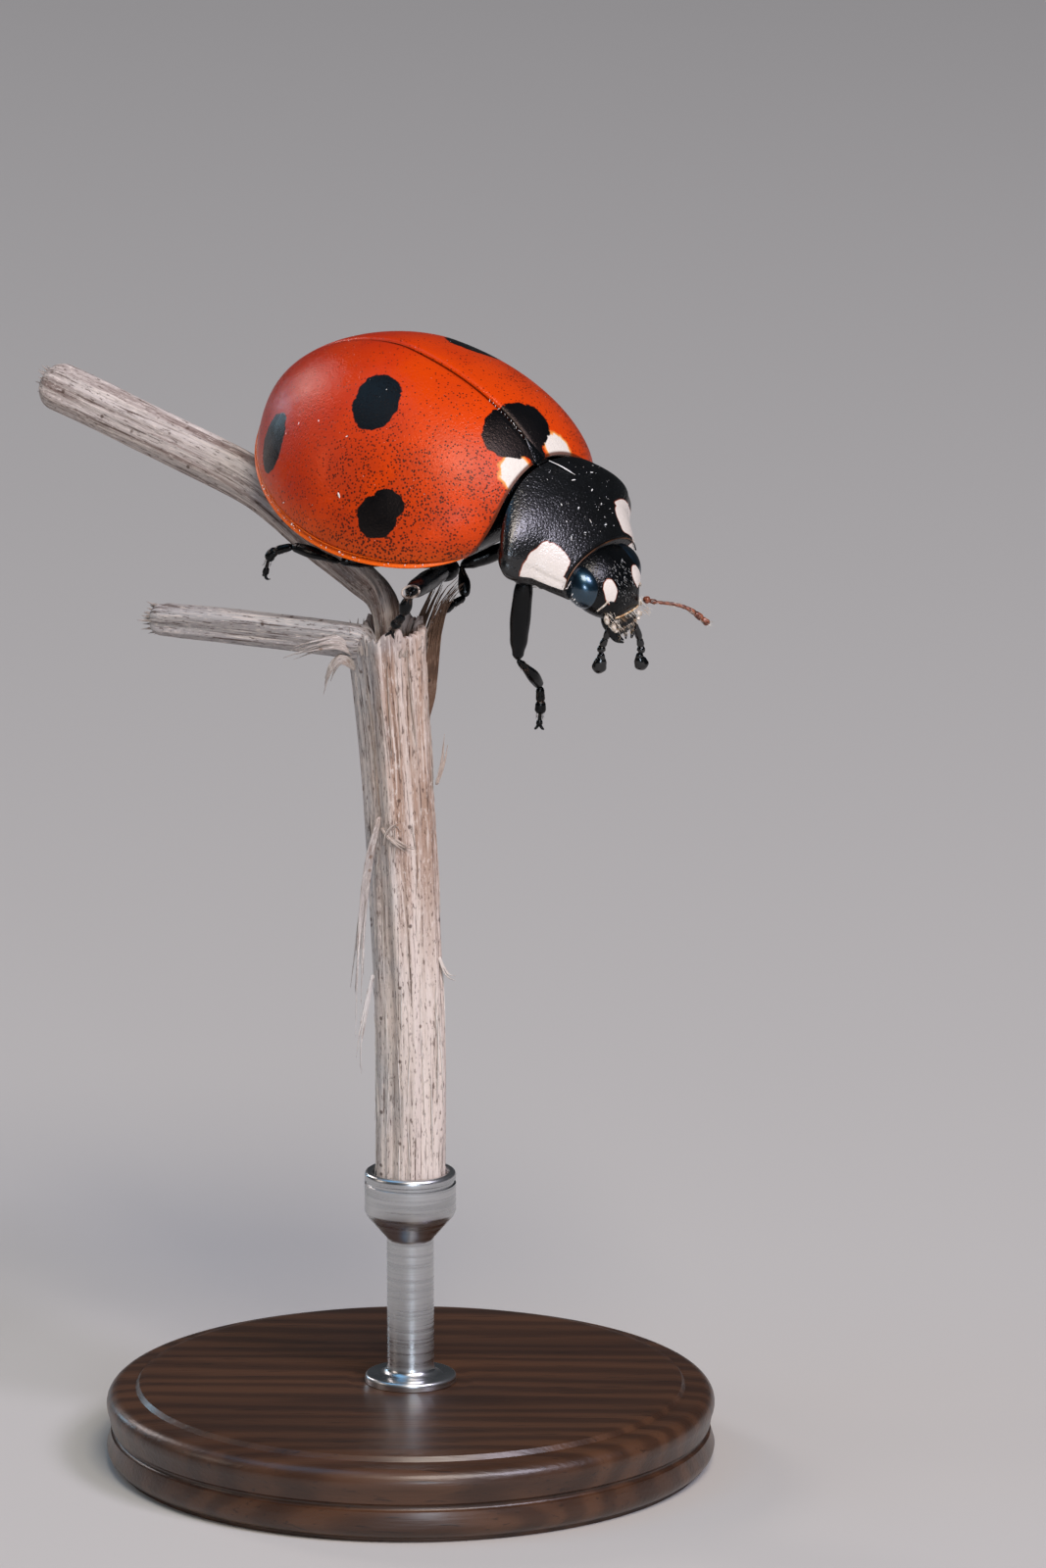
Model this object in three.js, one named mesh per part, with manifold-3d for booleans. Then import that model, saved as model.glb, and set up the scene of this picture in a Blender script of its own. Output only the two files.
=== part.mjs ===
// A seven-spot ladybird, life size, walking off the broken top of a dry stalk. The stalk stands in
// the cup of a rod on a round base. Millimetres, +Z up. The origin is the centre of the base's
// underside. The ladybird is built in a frame of its own: +X to the head, +Y to its left, +Z to its
// back, with the origin between the front corners of the wing cases, at the level of their margins.
import * as THREE from 'three';
import { mergeVertices } from 'three/addons/utils/BufferGeometryUtils.js';
import Module from 'manifold-3d';

const wasm = await Module();
wasm.setup();

// Clearances between neighbouring solids, and the distance below which two vertices are one.
const gap = 0.04;
const bodyGap = 0.07;
const weldDistance = 0.004;

// Where the ladybird stands, and how it is turned: to its right, head down, leaning to its left.
const ladybirdPlace = new THREE.Vector3(2.14, 0.3, 16.0);
const headingTurn = THREE.MathUtils.degToRad(-37.5);
const noseDown = THREE.MathUtils.degToRad(12.4);
const sideLean = THREE.MathUtils.degToRad(12.2);

// The dome that the two wing cases form. Shares are of its length, from the front, or of its
// largest width or height. The powers set how round or blunt each stretch is.
const elytra = {
  length: 5.8,
  width: 5.4,
  height: 2.66,
  thickness: 0.5,
  baseHeightShare: 0.5,
  highestAt: 0.505,
  baseWidthShare: 0.58,
  widestAt: 0.386,
  frontRoundness: 2.07,
  rearRoundness: 1.87,
  rearBluntness: 1.46,
  rearSlope: 1.62,
  rearSlopeBluntness: 1.77,
  archPower: 1.17,
  marginLift: 0.25,
  marginLowestAt: 0.46,
  shoulderForward: 0.16,
  shoulderRounding: 0.4,
  shoulderFrom: 0.5,
  shoulderFade: 9,
  forwardFade: 3,
  insetTurn: 3,
  acrossSteps: 11,
  alongSteps: 16,
};

// The body under the wing cases, parted between the thorax and the abdomen.
const belly = {
  depth: 0.45,
  fullness: 1.2,
  deepensFrom: 0.005,
  deepensOver: 0.14,
  frontShare: 0.03,
  partShare: 0.31,
  rearShare: 0.965,
  roundSteps: 28,
  thoraxSteps: 5,
  abdomenSteps: 9,
};

// The front body, from the edge that meets the wing cases to the edge round the head.
const pronotum = {
  rearX: 0.04,
  frontX: 1.38,
  rearTop: 1.5,
  frontTop: 0.44,
  crown: 0.1,
  rearMargin: 0.5,
  frontMargin: -0.05,
  rearHalfWidth: 1.42,
  widestHalf: 1.66,
  frontHalfWidth: 0.94,
  widestShare: 0.3,
  frontTaper: 1.5,
  cornerForward: 0.28,
  archPower: 0.95,
  undersideDepth: 0.42,
  undersideFullness: 0.8,
  roundSteps: 28,
  alongSteps: 8,
};

// The head, in a frame that is tipped so that its own +X points to the mouth.
const head = {
  centre: new THREE.Vector3(1.5, 0, -0.2),
  tip: THREE.MathUtils.degToRad(50),
  halfLength: 0.7,
  halfWidth: 0.76,
  halfHeight: 0.42,
  mouthHalfWidth: 0.65,
  mouthDrop: 0.06,
  narrowsFrom: 0.25,
  narrowing: 1.5,
  eyeCentre: new THREE.Vector3(0.03, 0.64, 0.12),
  eyeRadii: new THREE.Vector3(0.34, 0.27, 0.27),
  mouthCentre: new THREE.Vector3(0.82, 0, 0.06),
  mouthRadii: new THREE.Vector3(0.22, 0.28, 0.13),
  sides: 26,
  rings: 16,
  eyeSides: 14,
  eyeRings: 10,
  mouthRings: 8,
};

const limb = {
  radius: 0.25,
  femurBulge: 0.04,
  tipShare: 0.72,
  sides: 10,
  ballSteps: 2,
  femurSteps: 4,
  lowerSteps: 2,
  feelerSteps: 8,
};

// Each leg's hip, knee, ankle and toe, in the ladybird's frame.
const legs = {
  front_right: [[0.42, -0.82, -0.66], [0.5, -1.0, -1.7], [0.6, -0.46, -2.43], [0.7, -0.6, -3.17]],
  front_left: [[0.62, 0.62, -0.8], [0.92, 1.42, -0.78], [0.1, 0.78, -1.2], [-0.62, 0.5, -1.3]],
  middle_right: [[-1.2, -0.9, -0.72], [-0.5, -2.7, -0.08], [-0.57, -2.8, -0.53], [-0.82, -2.8, -0.99]],
  middle_left: [[-0.9, 0.5, -0.78], [-1.45, -0.24, -0.98], [-1.12, -0.44, -1.36], [-1.29, -1.07, -1.62]],
  hind_right: [[-1.85, -0.72, -0.72], [-2.5, -2.15, -0.5], [-3.6, -2.1, -0.65], [-4.0, -2.35, -1.3]],
  hind_left: [[-1.85, 0.75, -0.78], [-2.75, 1.75, -0.75], [-3.5, 0.55, -1.1], [-4.1, -0.1, -1.05]],
};

// The feelers beside and under the mouth, in the ladybird's frame.
const feelers = {
  antenna_left: [[2.12, 0.55, -0.58], [2.32, 0.76, -0.66], [2.56, 1.0, -0.82], [2.82, 1.2, -1.01]],
  antenna_right: [[1.22, -0.3, -1.0], [1.08, -0.1, -1.04], [0.96, 0.14, -1.02]],
  palp_left: [[1.86, 0.38, -1.05], [1.92, 0.42, -1.4], [1.98, 0.45, -1.8]],
  palp_right: [[1.78, -0.34, -1.02], [1.78, -0.36, -1.3], [1.76, -0.35, -1.62]],
};

// The stalk, from its cut foot to its broken top. Its upper length is bent over and hangs from the
// top by a strip of fibres, and a side shoot is broken off short.
const stalk = {
  stem: [[0, 0, 4.4], [0.02, 0, 7.0], [-0.06, 0, 9.4], [-0.16, 0, 11.6], [-0.36, 0, 14.6]],
  stemRadius: 0.57,
  topSpread: 0.1,
  spreadFrom: 0.75,
  stemRidges: 5,
  branch: [
    [-0.36, 0.16, 14.3], [-0.38, 0.2, 14.8], [-0.5, 0.66, 14.98], [-0.77, 1.29, 15.1],
    [-1.36, 2.0, 15.5], [-2.64, 3.45, 16.32], [-4.94, 4.98, 17.15], [-6.4, 5.9, 17.66],
  ],
  stripRadius: 0.25,
  branchRadius: 0.4,
  widensFrom: 0.08,
  widensOver: 0.35,
  branchRidges: 3,
  stub: [[-0.7, -0.3, 14.34], [-2.3, 0.86, 14.3], [-4.45, 2.4, 14.2]],
  stubRadius: 0.29,
  ridgeHeight: 0.035,
  stemSides: 20,
  stemSteps: 8,
  branchSides: 12,
  branchSteps: 18,
  stubSides: 10,
  stubSteps: 5,
};

const stand = {
  baseRadius: 5.2,
  baseHeight: 1.4,
  edge: 0.25,
  edgeMiddle: 0.3,
  rodRadius: 0.4,
  cupFoot: 3.9,
  cupRadius: 0.78,
  cupWall: 0.15,
  cupFloor: 4.4,
  cupRim: 5.1,
  baseSides: 48,
  rodSides: 20,
};

const colours = {
  elytra: 0xd3400f,
  black: 0x121417,
  eye: 0x10161d,
  feeler: 0x6b3f2c,
  stalk: 0xbd9f8c,
  rod: 0x9b9da0,
  base: 0x4a3427,
};
const roughness = { elytra: 0.28, body: 0.38, leg: 0.35, eye: 0.15, stalk: 0.85, rod: 0.3, base: 0.4 };

function clamp01(value) {
  return Math.min(1, Math.max(0, value));
}

function mix(from, to, share) {
  return from + (to - from) * share;
}

function toVectors(list) {
  return list.map((entry) => new THREE.Vector3(...entry));
}

function signedVolume(geometry) {
  const position = geometry.getAttribute('position');
  const corners = [new THREE.Vector3(), new THREE.Vector3(), new THREE.Vector3()];
  let volume = 0;
  for (let i = 0; i < geometry.index.count; i += 3) {
    corners.forEach((corner, k) => corner.fromBufferAttribute(position, geometry.index.getX(i + k)));
    volume += corners[0].dot(corners[1].clone().cross(corners[2])) / 6;
  }
  return volume;
}

// Joins vertices that meet, drops the triangles that this flattens, and turns the faces outwards.
function weld(geometry) {
  geometry.deleteAttribute('normal');
  geometry.deleteAttribute('uv');
  const merged = mergeVertices(geometry, weldDistance);
  const source = merged.index.array;
  const kept = [];
  for (let i = 0; i < source.length; i += 3) {
    const [a, b, c] = [source[i], source[i + 1], source[i + 2]];
    if (a !== b && b !== c && c !== a) kept.push(a, b, c);
  }
  merged.setIndex(kept);
  if (signedVolume(merged) < 0) {
    for (let i = 0; i < kept.length; i += 3) [kept[i], kept[i + 1]] = [kept[i + 1], kept[i]];
    merged.setIndex(kept);
  }
  return merged;
}

// Moves every vertex of a three.js shape to where the function puts it.
function reshape(geometry, place) {
  const position = geometry.getAttribute('position');
  const point = new THREE.Vector3();
  for (let i = 0; i < position.count; i += 1) {
    const moved = place(point.clone().fromBufferAttribute(position, i));
    position.setXYZ(i, moved.x, moved.y, moved.z);
  }
  return weld(geometry);
}

// Reshapes a drum of rings. ring(step, share, angle) gives a point of a ring, and centre(share) the
// middle of the flat end.
function reshapeDrum(sides, steps, centre, ring) {
  const drum = new THREE.CylinderGeometry(1, 1, 1, sides, steps, false);
  return reshape(drum, (point) => {
    const share = point.y + 0.5;
    if (Math.hypot(point.x, point.z) < 0.5) return centre(share);
    return ring(Math.round(share * steps), share, Math.atan2(point.z, point.x));
  });
}

function toSolid(geometry) {
  const vertProperties = new Float32Array(geometry.getAttribute('position').array);
  const triVerts = new Uint32Array(geometry.index.array);
  return new wasm.Manifold(new wasm.Mesh({ numProp: 3, vertProperties, triVerts }));
}

function cutAway(geometry, ...tools) {
  let solid = toSolid(geometry);
  for (const tool of tools) solid = solid.subtract(toSolid(tool));
  const mesh = solid.getMesh();
  const result = new THREE.BufferGeometry();
  result.setAttribute('position', new THREE.BufferAttribute(mesh.vertProperties, 3));
  result.setIndex(Array.from(mesh.triVerts));
  return weld(result);
}

// Half the width of the wing cases at a share t of their length.
function elytraHalfWidth(t) {
  const { widestAt, baseWidthShare, frontRoundness, rearRoundness, rearBluntness, width } = elytra;
  const start = (1 - baseWidthShare ** frontRoundness) ** (1 / frontRoundness);
  const ahead = clamp01((widestAt - t) / widestAt);
  const behind = clamp01((t - widestAt) / (1 - widestAt));
  const front = (1 - (start * ahead) ** frontRoundness) ** (1 / frontRoundness);
  const rear = (1 - behind ** rearRoundness) ** (1 / rearBluntness);
  return (width / 2) * (t < widestAt ? front : rear);
}

function elytraHeight(t) {
  const { highestAt, baseHeightShare, rearSlope, rearSlopeBluntness, height } = elytra;
  const start = Math.sqrt(1 - baseHeightShare ** 2);
  const ahead = clamp01((highestAt - t) / highestAt);
  const behind = clamp01((t - highestAt) / (1 - highestAt));
  const front = Math.sqrt(1 - (start * ahead) ** 2);
  const rear = (1 - behind ** rearSlope) ** (1 / rearSlopeBluntness);
  return height * (t < highestAt ? front : rear);
}

// The side margins rise a little to the front and the rear.
function marginHeight(t) {
  return elytra.marginLift * 4 * (t - elytra.marginLowestAt) ** 2;
}

// A point of the dome. u runs from the right margin, -1, over the suture, 0, to the left margin, 1.
// inset is how far inside the outer surface the point lies: sideways and up, and towards the rear
// end more and more forwards.
function domePoint(t, u, inset) {
  const angle = (u * Math.PI) / 2;
  const side = Math.sin(angle);
  const up = Math.max(0, Math.cos(angle)) ** elytra.archPower;
  const rearward = clamp01((t - elytra.widestAt) / (1 - elytra.widestAt)) ** elytra.insetTurn;
  const sideInset = inset * Math.sqrt(1 - rearward ** 2);
  const corner = clamp01((Math.abs(u) - elytra.shoulderFrom) / (1 - elytra.shoulderFrom)) ** 2;
  const rounding = elytra.shoulderRounding * corner * (1 - t) ** elytra.shoulderFade;
  const forward = elytra.shoulderForward * (1 - t) ** elytra.forwardFade * side ** 2;
  return new THREE.Vector3(
    -elytra.length * t + forward - rounding + inset * rearward,
    (elytraHalfWidth(t) - sideInset) * side,
    (elytraHeight(t) - sideInset) * up + marginHeight(t),
  );
}

// Steps that lie closer together towards both ends.
function easedShare(share) {
  return 0.5 - 0.5 * Math.cos(Math.PI * share);
}

function makeElytron(sideSign) {
  const slab = new THREE.BoxGeometry(1, 1, 1, elytra.acrossSteps, elytra.alongSteps, 1);
  return reshape(slab, (point) => {
    const inset = point.z > 0 ? 0 : elytra.thickness;
    const placed = domePoint(easedShare(point.y + 0.5), point.x + 0.5, inset);
    placed.y = sideSign * (placed.y + gap / 2);
    return placed;
  });
}

// A length of the body under the wing cases: it fills their dome and ends below in a shallow belly.
function makeUnderbody(fromShare, toShare, steps) {
  const inset = elytra.thickness + bodyGap;
  const tAt = (share) => mix(fromShare, toShare, share);

  function centre(share) {
    return new THREE.Vector3(domePoint(tAt(share), 0, inset).x, 0, marginHeight(tAt(share)));
  }

  function ring(step, share, angle) {
    const t = tAt(share);
    if (angle >= 0) return domePoint(t, 1 - (2 * angle) / Math.PI, inset);
    const margin = domePoint(t, 1, inset);
    const deepened = clamp01((t - belly.deepensFrom) / belly.deepensOver);
    const round = Math.abs(Math.sin(angle)) ** belly.fullness;
    const drop = belly.depth * deepened * Math.min(1, margin.y) * round;
    return new THREE.Vector3(margin.x, margin.y * Math.cos(angle), margin.z - drop);
  }

  return reshapeDrum(belly.roundSteps, steps, centre, ring);
}

// Half the front body's width at a share s of its length, from its rear edge.
function pronotumHalfWidth(s) {
  const { rearHalfWidth, widestHalf, frontHalfWidth, widestShare, frontTaper } = pronotum;
  const swell = Math.sin((Math.PI / 2) * Math.min(2, s / widestShare));
  const taper = clamp01((s - widestShare) / (1 - widestShare)) ** frontTaper;
  return mix(mix(rearHalfWidth, widestHalf, swell), frontHalfWidth, taper);
}

function makePronotum() {
  const { rearX, frontX, rearTop, frontTop, crown, rearMargin, frontMargin } = pronotum;
  const topAt = (s) => mix(rearTop, frontTop, s) + crown * Math.sin(Math.PI * s);
  const marginAt = (s) => mix(rearMargin, frontMargin, s);

  function centre(s) {
    const middle = (topAt(s) + marginAt(s) - pronotum.undersideDepth) / 2;
    return new THREE.Vector3(mix(rearX, frontX, s), 0, middle);
  }

  function ring(step, s, angle) {
    const side = Math.cos(angle);
    const rise = Math.abs(Math.sin(angle));
    const x = mix(rearX, frontX, s) + pronotum.cornerForward * side ** 2 * (1 - s);
    const above = mix(marginAt(s), topAt(s), rise ** pronotum.archPower);
    const below = marginAt(s) - pronotum.undersideDepth * rise ** pronotum.undersideFullness;
    return new THREE.Vector3(x, pronotumHalfWidth(s) * side, angle >= 0 ? above : below);
  }

  return reshapeDrum(pronotum.roundSteps, pronotum.alongSteps, centre, ring);
}

// From the head's own frame to the ladybird's.
function fromHead(point) {
  return point.applyAxisAngle(new THREE.Vector3(0, 1, 0), head.tip).add(head.centre);
}

// A rounded capsule that narrows towards the mouth. grow is how far it is swollen all over.
function makeHead(grow) {
  return reshape(new THREE.SphereGeometry(1, head.sides, head.rings), (point) => {
    const toMouth = clamp01((point.x - head.narrowsFrom) / (1 - head.narrowsFrom)) ** head.narrowing;
    const halfWidth = mix(head.halfWidth, head.mouthHalfWidth, toMouth) + grow;
    const x = point.x * (head.halfLength + grow);
    const z = point.z * (head.halfHeight + grow) - head.mouthDrop * toMouth;
    return fromHead(new THREE.Vector3(x, point.y * halfWidth, z));
  });
}

function makeEye(sideSign, grow) {
  return reshape(new THREE.SphereGeometry(1, head.eyeSides, head.eyeRings), (point) => {
    const placed = point.multiply(head.eyeRadii.clone().addScalar(grow)).add(head.eyeCentre);
    placed.y *= sideSign;
    return fromHead(placed);
  });
}

function makeMouthparts() {
  const wedge = reshape(new THREE.SphereGeometry(1, head.eyeSides, head.mouthRings), (point) => (
    fromHead(point.multiply(head.mouthRadii).add(head.mouthCentre))
  ));
  return cutAway(wedge, makeHead(gap));
}

// A tube along a smooth curve, closed at both ends. radius(share, angle) gives its outline.
function makeTube(points, radius, sides, steps) {
  const curve = new THREE.CatmullRomCurve3(points);
  const frames = curve.computeFrenetFrames(steps, false);
  return reshapeDrum(sides, steps, (share) => curve.getPointAt(share), (step, share, angle) => {
    const reach = radius(share, angle);
    return curve.getPointAt(share)
      .addScaledVector(frames.normals[step], reach * Math.cos(angle))
      .addScaledVector(frames.binormals[step], reach * Math.sin(angle));
  });
}

// A feeler: a tube whose two ends are rounded off.
function makeFeeler(points) {
  const length = new THREE.CatmullRomCurve3(points).getLength();
  const endMargin = limb.radius / 4;

  function radius(share) {
    const toEnd = Math.min(share, 1 - share) * length + endMargin;
    return limb.radius * Math.sqrt(1 - (1 - clamp01(toEnd / limb.radius)) ** 2);
  }

  return makeTube(points, radius, limb.sides, limb.feelerSteps);
}

// Where a limb's side line ends at a joint, which is cut flat across its normal. On the inside of
// the bend the line stops at the cut. On the outside it goes on over a ball round the joint, and
// ballShare tells how much of the way over it.
function endAtJoint(joint, normal, along, outward, awaySign, ballShare) {
  const tilt = outward.dot(normal);
  if (tilt * awaySign > 0) {
    const slide = -(limb.radius * tilt) / along.dot(normal);
    return joint.clone().addScaledVector(outward, limb.radius).addScaledVector(along, slide);
  }
  const onCut = outward.clone().addScaledVector(normal, -tilt).normalize();
  const turned = outward.clone().lerp(onCut, ballShare).normalize();
  return joint.clone().addScaledVector(turned, limb.radius);
}

// One length of a leg, from cut to cut. A null normal is a square cut, and a free tip is drawn in.
function makeLimbLength(start, end, startNormal, endNormal, bulge) {
  const along = end.clone().sub(start).normalize();
  const startCut = startNormal ?? along;
  const endCut = endNormal ?? along;
  const from = start.clone().addScaledVector(startCut, gap / 2);
  const to = end.clone().addScaledVector(endCut, -gap / 2);
  const sideways = new THREE.Vector3(0, 1, 0).cross(along).normalize();
  const across = along.clone().cross(sideways);
  const shaftSteps = bulge > 0 ? limb.femurSteps : limb.lowerSteps;
  const steps = shaftSteps + 2 * limb.ballSteps;
  const drawnIn = endNormal ? 0 : 1 - limb.tipShare;

  function ring(step, share, angle) {
    const outward = sideways.clone().multiplyScalar(Math.cos(angle));
    outward.addScaledVector(across, Math.sin(angle));
    const startBall = clamp01(1 - step / limb.ballSteps);
    const endBall = clamp01((step - steps + limb.ballSteps) / limb.ballSteps);
    const shaft = clamp01((step - limb.ballSteps) / shaftSteps);
    const placed = endAtJoint(from, startCut, along, outward, -1, startBall);
    placed.lerp(endAtJoint(to, endCut, along, outward, 1, endBall), shaft);
    placed.addScaledVector(outward, bulge * Math.sin(Math.PI * shaft));
    return placed.lerp(to, drawnIn * endBall);
  }

  return reshapeDrum(limb.sides, steps, (share) => (share < 0.5 ? from : to).clone(), ring);
}

// The normal of the plane that halves the angle at a joint.
function jointNormal(before, joint, after) {
  const arriving = joint.clone().sub(before).normalize();
  const leaving = after.clone().sub(joint).normalize();
  return arriving.add(leaving).normalize();
}

function stemRadius(grow) {
  return (share, angle) => {
    const spread = stalk.topSpread * clamp01((share - stalk.spreadFrom) / (1 - stalk.spreadFrom)) ** 2;
    return stalk.stemRadius + spread + stalk.ridgeHeight * Math.cos(stalk.stemRidges * angle) + grow;
  };
}

function branchRadius(share, angle) {
  const widening = clamp01((share - stalk.widensFrom) / stalk.widensOver);
  const ridge = stalk.ridgeHeight * Math.cos(stalk.branchRidges * angle);
  return mix(stalk.stripRadius, stalk.branchRadius, widening) + ridge;
}

function makeTurned(profile, sides) {
  const outline = profile.map(([radius, height]) => new THREE.Vector2(radius, height));
  return weld(new THREE.LatheGeometry(outline, sides).rotateX(Math.PI / 2));
}

function addPiece(parent, name, geometry, color, rough, metalness = 0) {
  const material = new THREE.MeshStandardMaterial({ color, roughness: rough, metalness });
  const mesh = new THREE.Mesh(geometry, material);
  mesh.name = name;
  parent.add(mesh);
}

function addBody(parent) {
  const { frontShare, partShare, rearShare, thoraxSteps, abdomenSteps } = belly;
  const thorax = makeUnderbody(frontShare, partShare, thoraxSteps);
  const abdomen = makeUnderbody(partShare + gap / elytra.length, rearShare, abdomenSteps);
  addPiece(parent, 'elytron_left', makeElytron(1), colours.elytra, roughness.elytra);
  addPiece(parent, 'elytron_right', makeElytron(-1), colours.elytra, roughness.elytra);
  addPiece(parent, 'thorax_underside', thorax, colours.black, roughness.body);
  addPiece(parent, 'abdomen', abdomen, colours.black, roughness.body);
  addPiece(parent, 'pronotum', cutAway(makePronotum(), makeHead(gap)), colours.black, roughness.body);
}

function addHead(parent) {
  const sockets = [makeEye(1, gap), makeEye(-1, gap)];
  addPiece(parent, 'head', cutAway(makeHead(0), ...sockets), colours.black, roughness.body);
  addPiece(parent, 'eye_left', makeEye(1, 0), colours.eye, roughness.eye);
  addPiece(parent, 'eye_right', makeEye(-1, 0), colours.eye, roughness.eye);
  addPiece(parent, 'mouthparts', makeMouthparts(), colours.feeler, roughness.leg);
  for (const [name, points] of Object.entries(feelers)) {
    const color = name.startsWith('palp') ? colours.black : colours.feeler;
    addPiece(parent, name, makeFeeler(toVectors(points)), color, roughness.leg);
  }
}

function addLegs(parent) {
  for (const [name, points] of Object.entries(legs)) {
    const [hip, knee, ankle, toe] = toVectors(points);
    const kneeCut = jointNormal(hip, knee, ankle);
    const ankleCut = jointNormal(knee, ankle, toe);
    const femur = makeLimbLength(hip, knee, null, kneeCut, limb.femurBulge);
    const tibia = makeLimbLength(knee, ankle, kneeCut, ankleCut, 0);
    const tarsus = makeLimbLength(ankle, toe, ankleCut, null, 0);
    addPiece(parent, `femur_${name}`, femur, colours.black, roughness.leg);
    addPiece(parent, `tibia_${name}`, tibia, colours.black, roughness.leg);
    addPiece(parent, `tarsus_${name}`, tarsus, colours.black, roughness.leg);
  }
}

function addPerch(parent) {
  const { stemSides, stemSteps, branchSides, branchSteps, stubSides, stubSteps } = stalk;
  const stemPath = toVectors(stalk.stem);
  const cutterPath = toVectors(stalk.stem);
  cutterPath.at(-1).z += gap;
  const cutter = makeTube(cutterPath, stemRadius(gap), stemSides, stemSteps);
  const stem = makeTube(stemPath, stemRadius(0), stemSides, stemSteps);
  const branch = makeTube(toVectors(stalk.branch), branchRadius, branchSides, branchSteps);
  const stub = makeTube(toVectors(stalk.stub), () => stalk.stubRadius, stubSides, stubSteps);
  addPiece(parent, 'perch_stem', stem, colours.stalk, roughness.stalk);
  addPiece(parent, 'perch_branch', cutAway(branch, cutter), colours.stalk, roughness.stalk);
  addPiece(parent, 'perch_stub', cutAway(stub, cutter), colours.stalk, roughness.stalk);
}

function addStand(parent) {
  const { baseRadius, baseHeight, edge, edgeMiddle, rodRadius, cupRadius, cupFoot, cupRim } = stand;
  const basePoints = [
    [0, 0], [baseRadius, 0], [baseRadius, baseHeight - edge],
    [baseRadius - edgeMiddle * edge, baseHeight - edgeMiddle * edge],
    [baseRadius - edge, baseHeight], [0, baseHeight],
  ];
  const rodFoot = baseHeight + gap;
  const cupFloor = stand.cupFloor - gap;
  const cupInside = cupRadius - stand.cupWall;
  const rodPoints = [
    [0, rodFoot], [rodRadius, rodFoot], [rodRadius, cupFoot], [cupRadius, cupFloor],
    [cupRadius, cupRim], [cupInside, cupRim], [cupInside, cupFloor], [0, cupFloor],
  ];
  addPiece(parent, 'stand_base', makeTurned(basePoints, stand.baseSides), colours.base, roughness.base);
  addPiece(parent, 'stand_rod', makeTurned(rodPoints, stand.rodSides), colours.rod, roughness.rod, 1);
}

const ladybird = new THREE.Group();
ladybird.position.copy(ladybirdPlace);
ladybird.rotation.set(sideLean, noseDown, headingTurn, 'ZYX');
addBody(ladybird);
addHead(ladybird);
addLegs(ladybird);

const part = new THREE.Group();
part.add(ladybird);
addPerch(part);
addStand(part);

export default part;
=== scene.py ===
import random
from functools import partial
from math import cos, exp, pi, radians, sin, sqrt
import bpy, bmesh
from mathutils import Euler, Matrix, Vector, noise


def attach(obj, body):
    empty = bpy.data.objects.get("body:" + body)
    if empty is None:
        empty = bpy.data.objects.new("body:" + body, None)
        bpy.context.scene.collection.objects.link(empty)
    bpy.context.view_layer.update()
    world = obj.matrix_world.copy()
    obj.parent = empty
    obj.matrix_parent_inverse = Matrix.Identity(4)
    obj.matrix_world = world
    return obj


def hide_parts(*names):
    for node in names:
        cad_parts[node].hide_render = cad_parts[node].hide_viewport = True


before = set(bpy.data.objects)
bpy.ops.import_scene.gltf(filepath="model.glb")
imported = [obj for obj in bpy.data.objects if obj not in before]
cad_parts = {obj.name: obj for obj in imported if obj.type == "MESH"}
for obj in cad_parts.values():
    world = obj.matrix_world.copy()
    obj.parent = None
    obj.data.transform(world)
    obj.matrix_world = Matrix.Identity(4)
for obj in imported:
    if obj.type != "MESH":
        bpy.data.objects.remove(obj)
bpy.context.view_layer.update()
print("frame loaded:", len(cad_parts), "nodes")

# Shapes are made in millimetres. The beetle has its own frame: +X to the head, +Y to its left,
# +Z to its back. The stalk and the stand are made where they are.
mm = 0.001
tiny = 1e-9  # keeps a division from failing at a point
draw = random.Random(7).uniform
beetleSpot = Vector((2.14, 0.3, 16.0))
benchPlace = Matrix.Scale(mm, 4)
beetleTurn = Euler([radians(a) for a in (12.2, 12.4, -37.5)], "XYZ").to_matrix().to_4x4()
beetlePlace = benchPlace @ Matrix.Translation(beetleSpot) @ beetleTurn


def clamp(value, low=0.0, high=1.0):
    return min(high, max(low, value))


def climb(value, start, end):
    # the share of the way from start to end, from 0 to 1
    return clamp((value - start) / (end - start))


def mix(start, end, share):
    return start + (end - start) * share


def ease(share):
    return 0.5 - 0.5 * cos(pi * share)


def ridge(distance, middle, width):
    return exp(-((distance - middle) / width) ** 2)


def turnRound(side, up, angle):
    return side * cos(angle) + up * sin(angle)


def drawVector():
    return Vector([draw(-1, 1) for i in range(3)])


def readProfile(stops, share):
    # smooth value between the (share, value) stops
    for (a, low), (b, high) in zip(stops, stops[1:]):
        if share <= b:
            return mix(low, high, ease(climb(share, a, b)))
    return stops[-1][1]


def facesOf(verts):
    return {face for vert in verts for face in vert.link_faces}


def skinMap(bm):
    return bm.loops.layers.uv.active or bm.loops.layers.uv.new("UVMap")


def bendSheet(bm, across, along, place, uvSize=(1, 1)):
    # a flat grid, each point of it moved to place(a, b), with a and b from 0 to 1
    layer = skinMap(bm)
    made = bmesh.ops.create_grid(
        bm, x_segments=across, y_segments=along, size=0.5, calc_uvs=False)["verts"]
    for face in facesOf(made):
        for loop in face.loops:
            flat = loop.vert.co
            loop[layer].uv = ((flat.x + 0.5) * uvSize[0], (flat.y + 0.5) * uvSize[1])
    for vert in made:
        vert.co = place(vert.co.x + 0.5, vert.co.y + 0.5)
    return made


def closeSeams(bm, verts=None, reach=0.002):
    bmesh.ops.remove_doubles(bm, verts=verts or bm.verts[:], dist=reach)
    bmesh.ops.dissolve_degenerate(bm, edges=bm.edges[:], dist=reach / 20)


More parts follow.
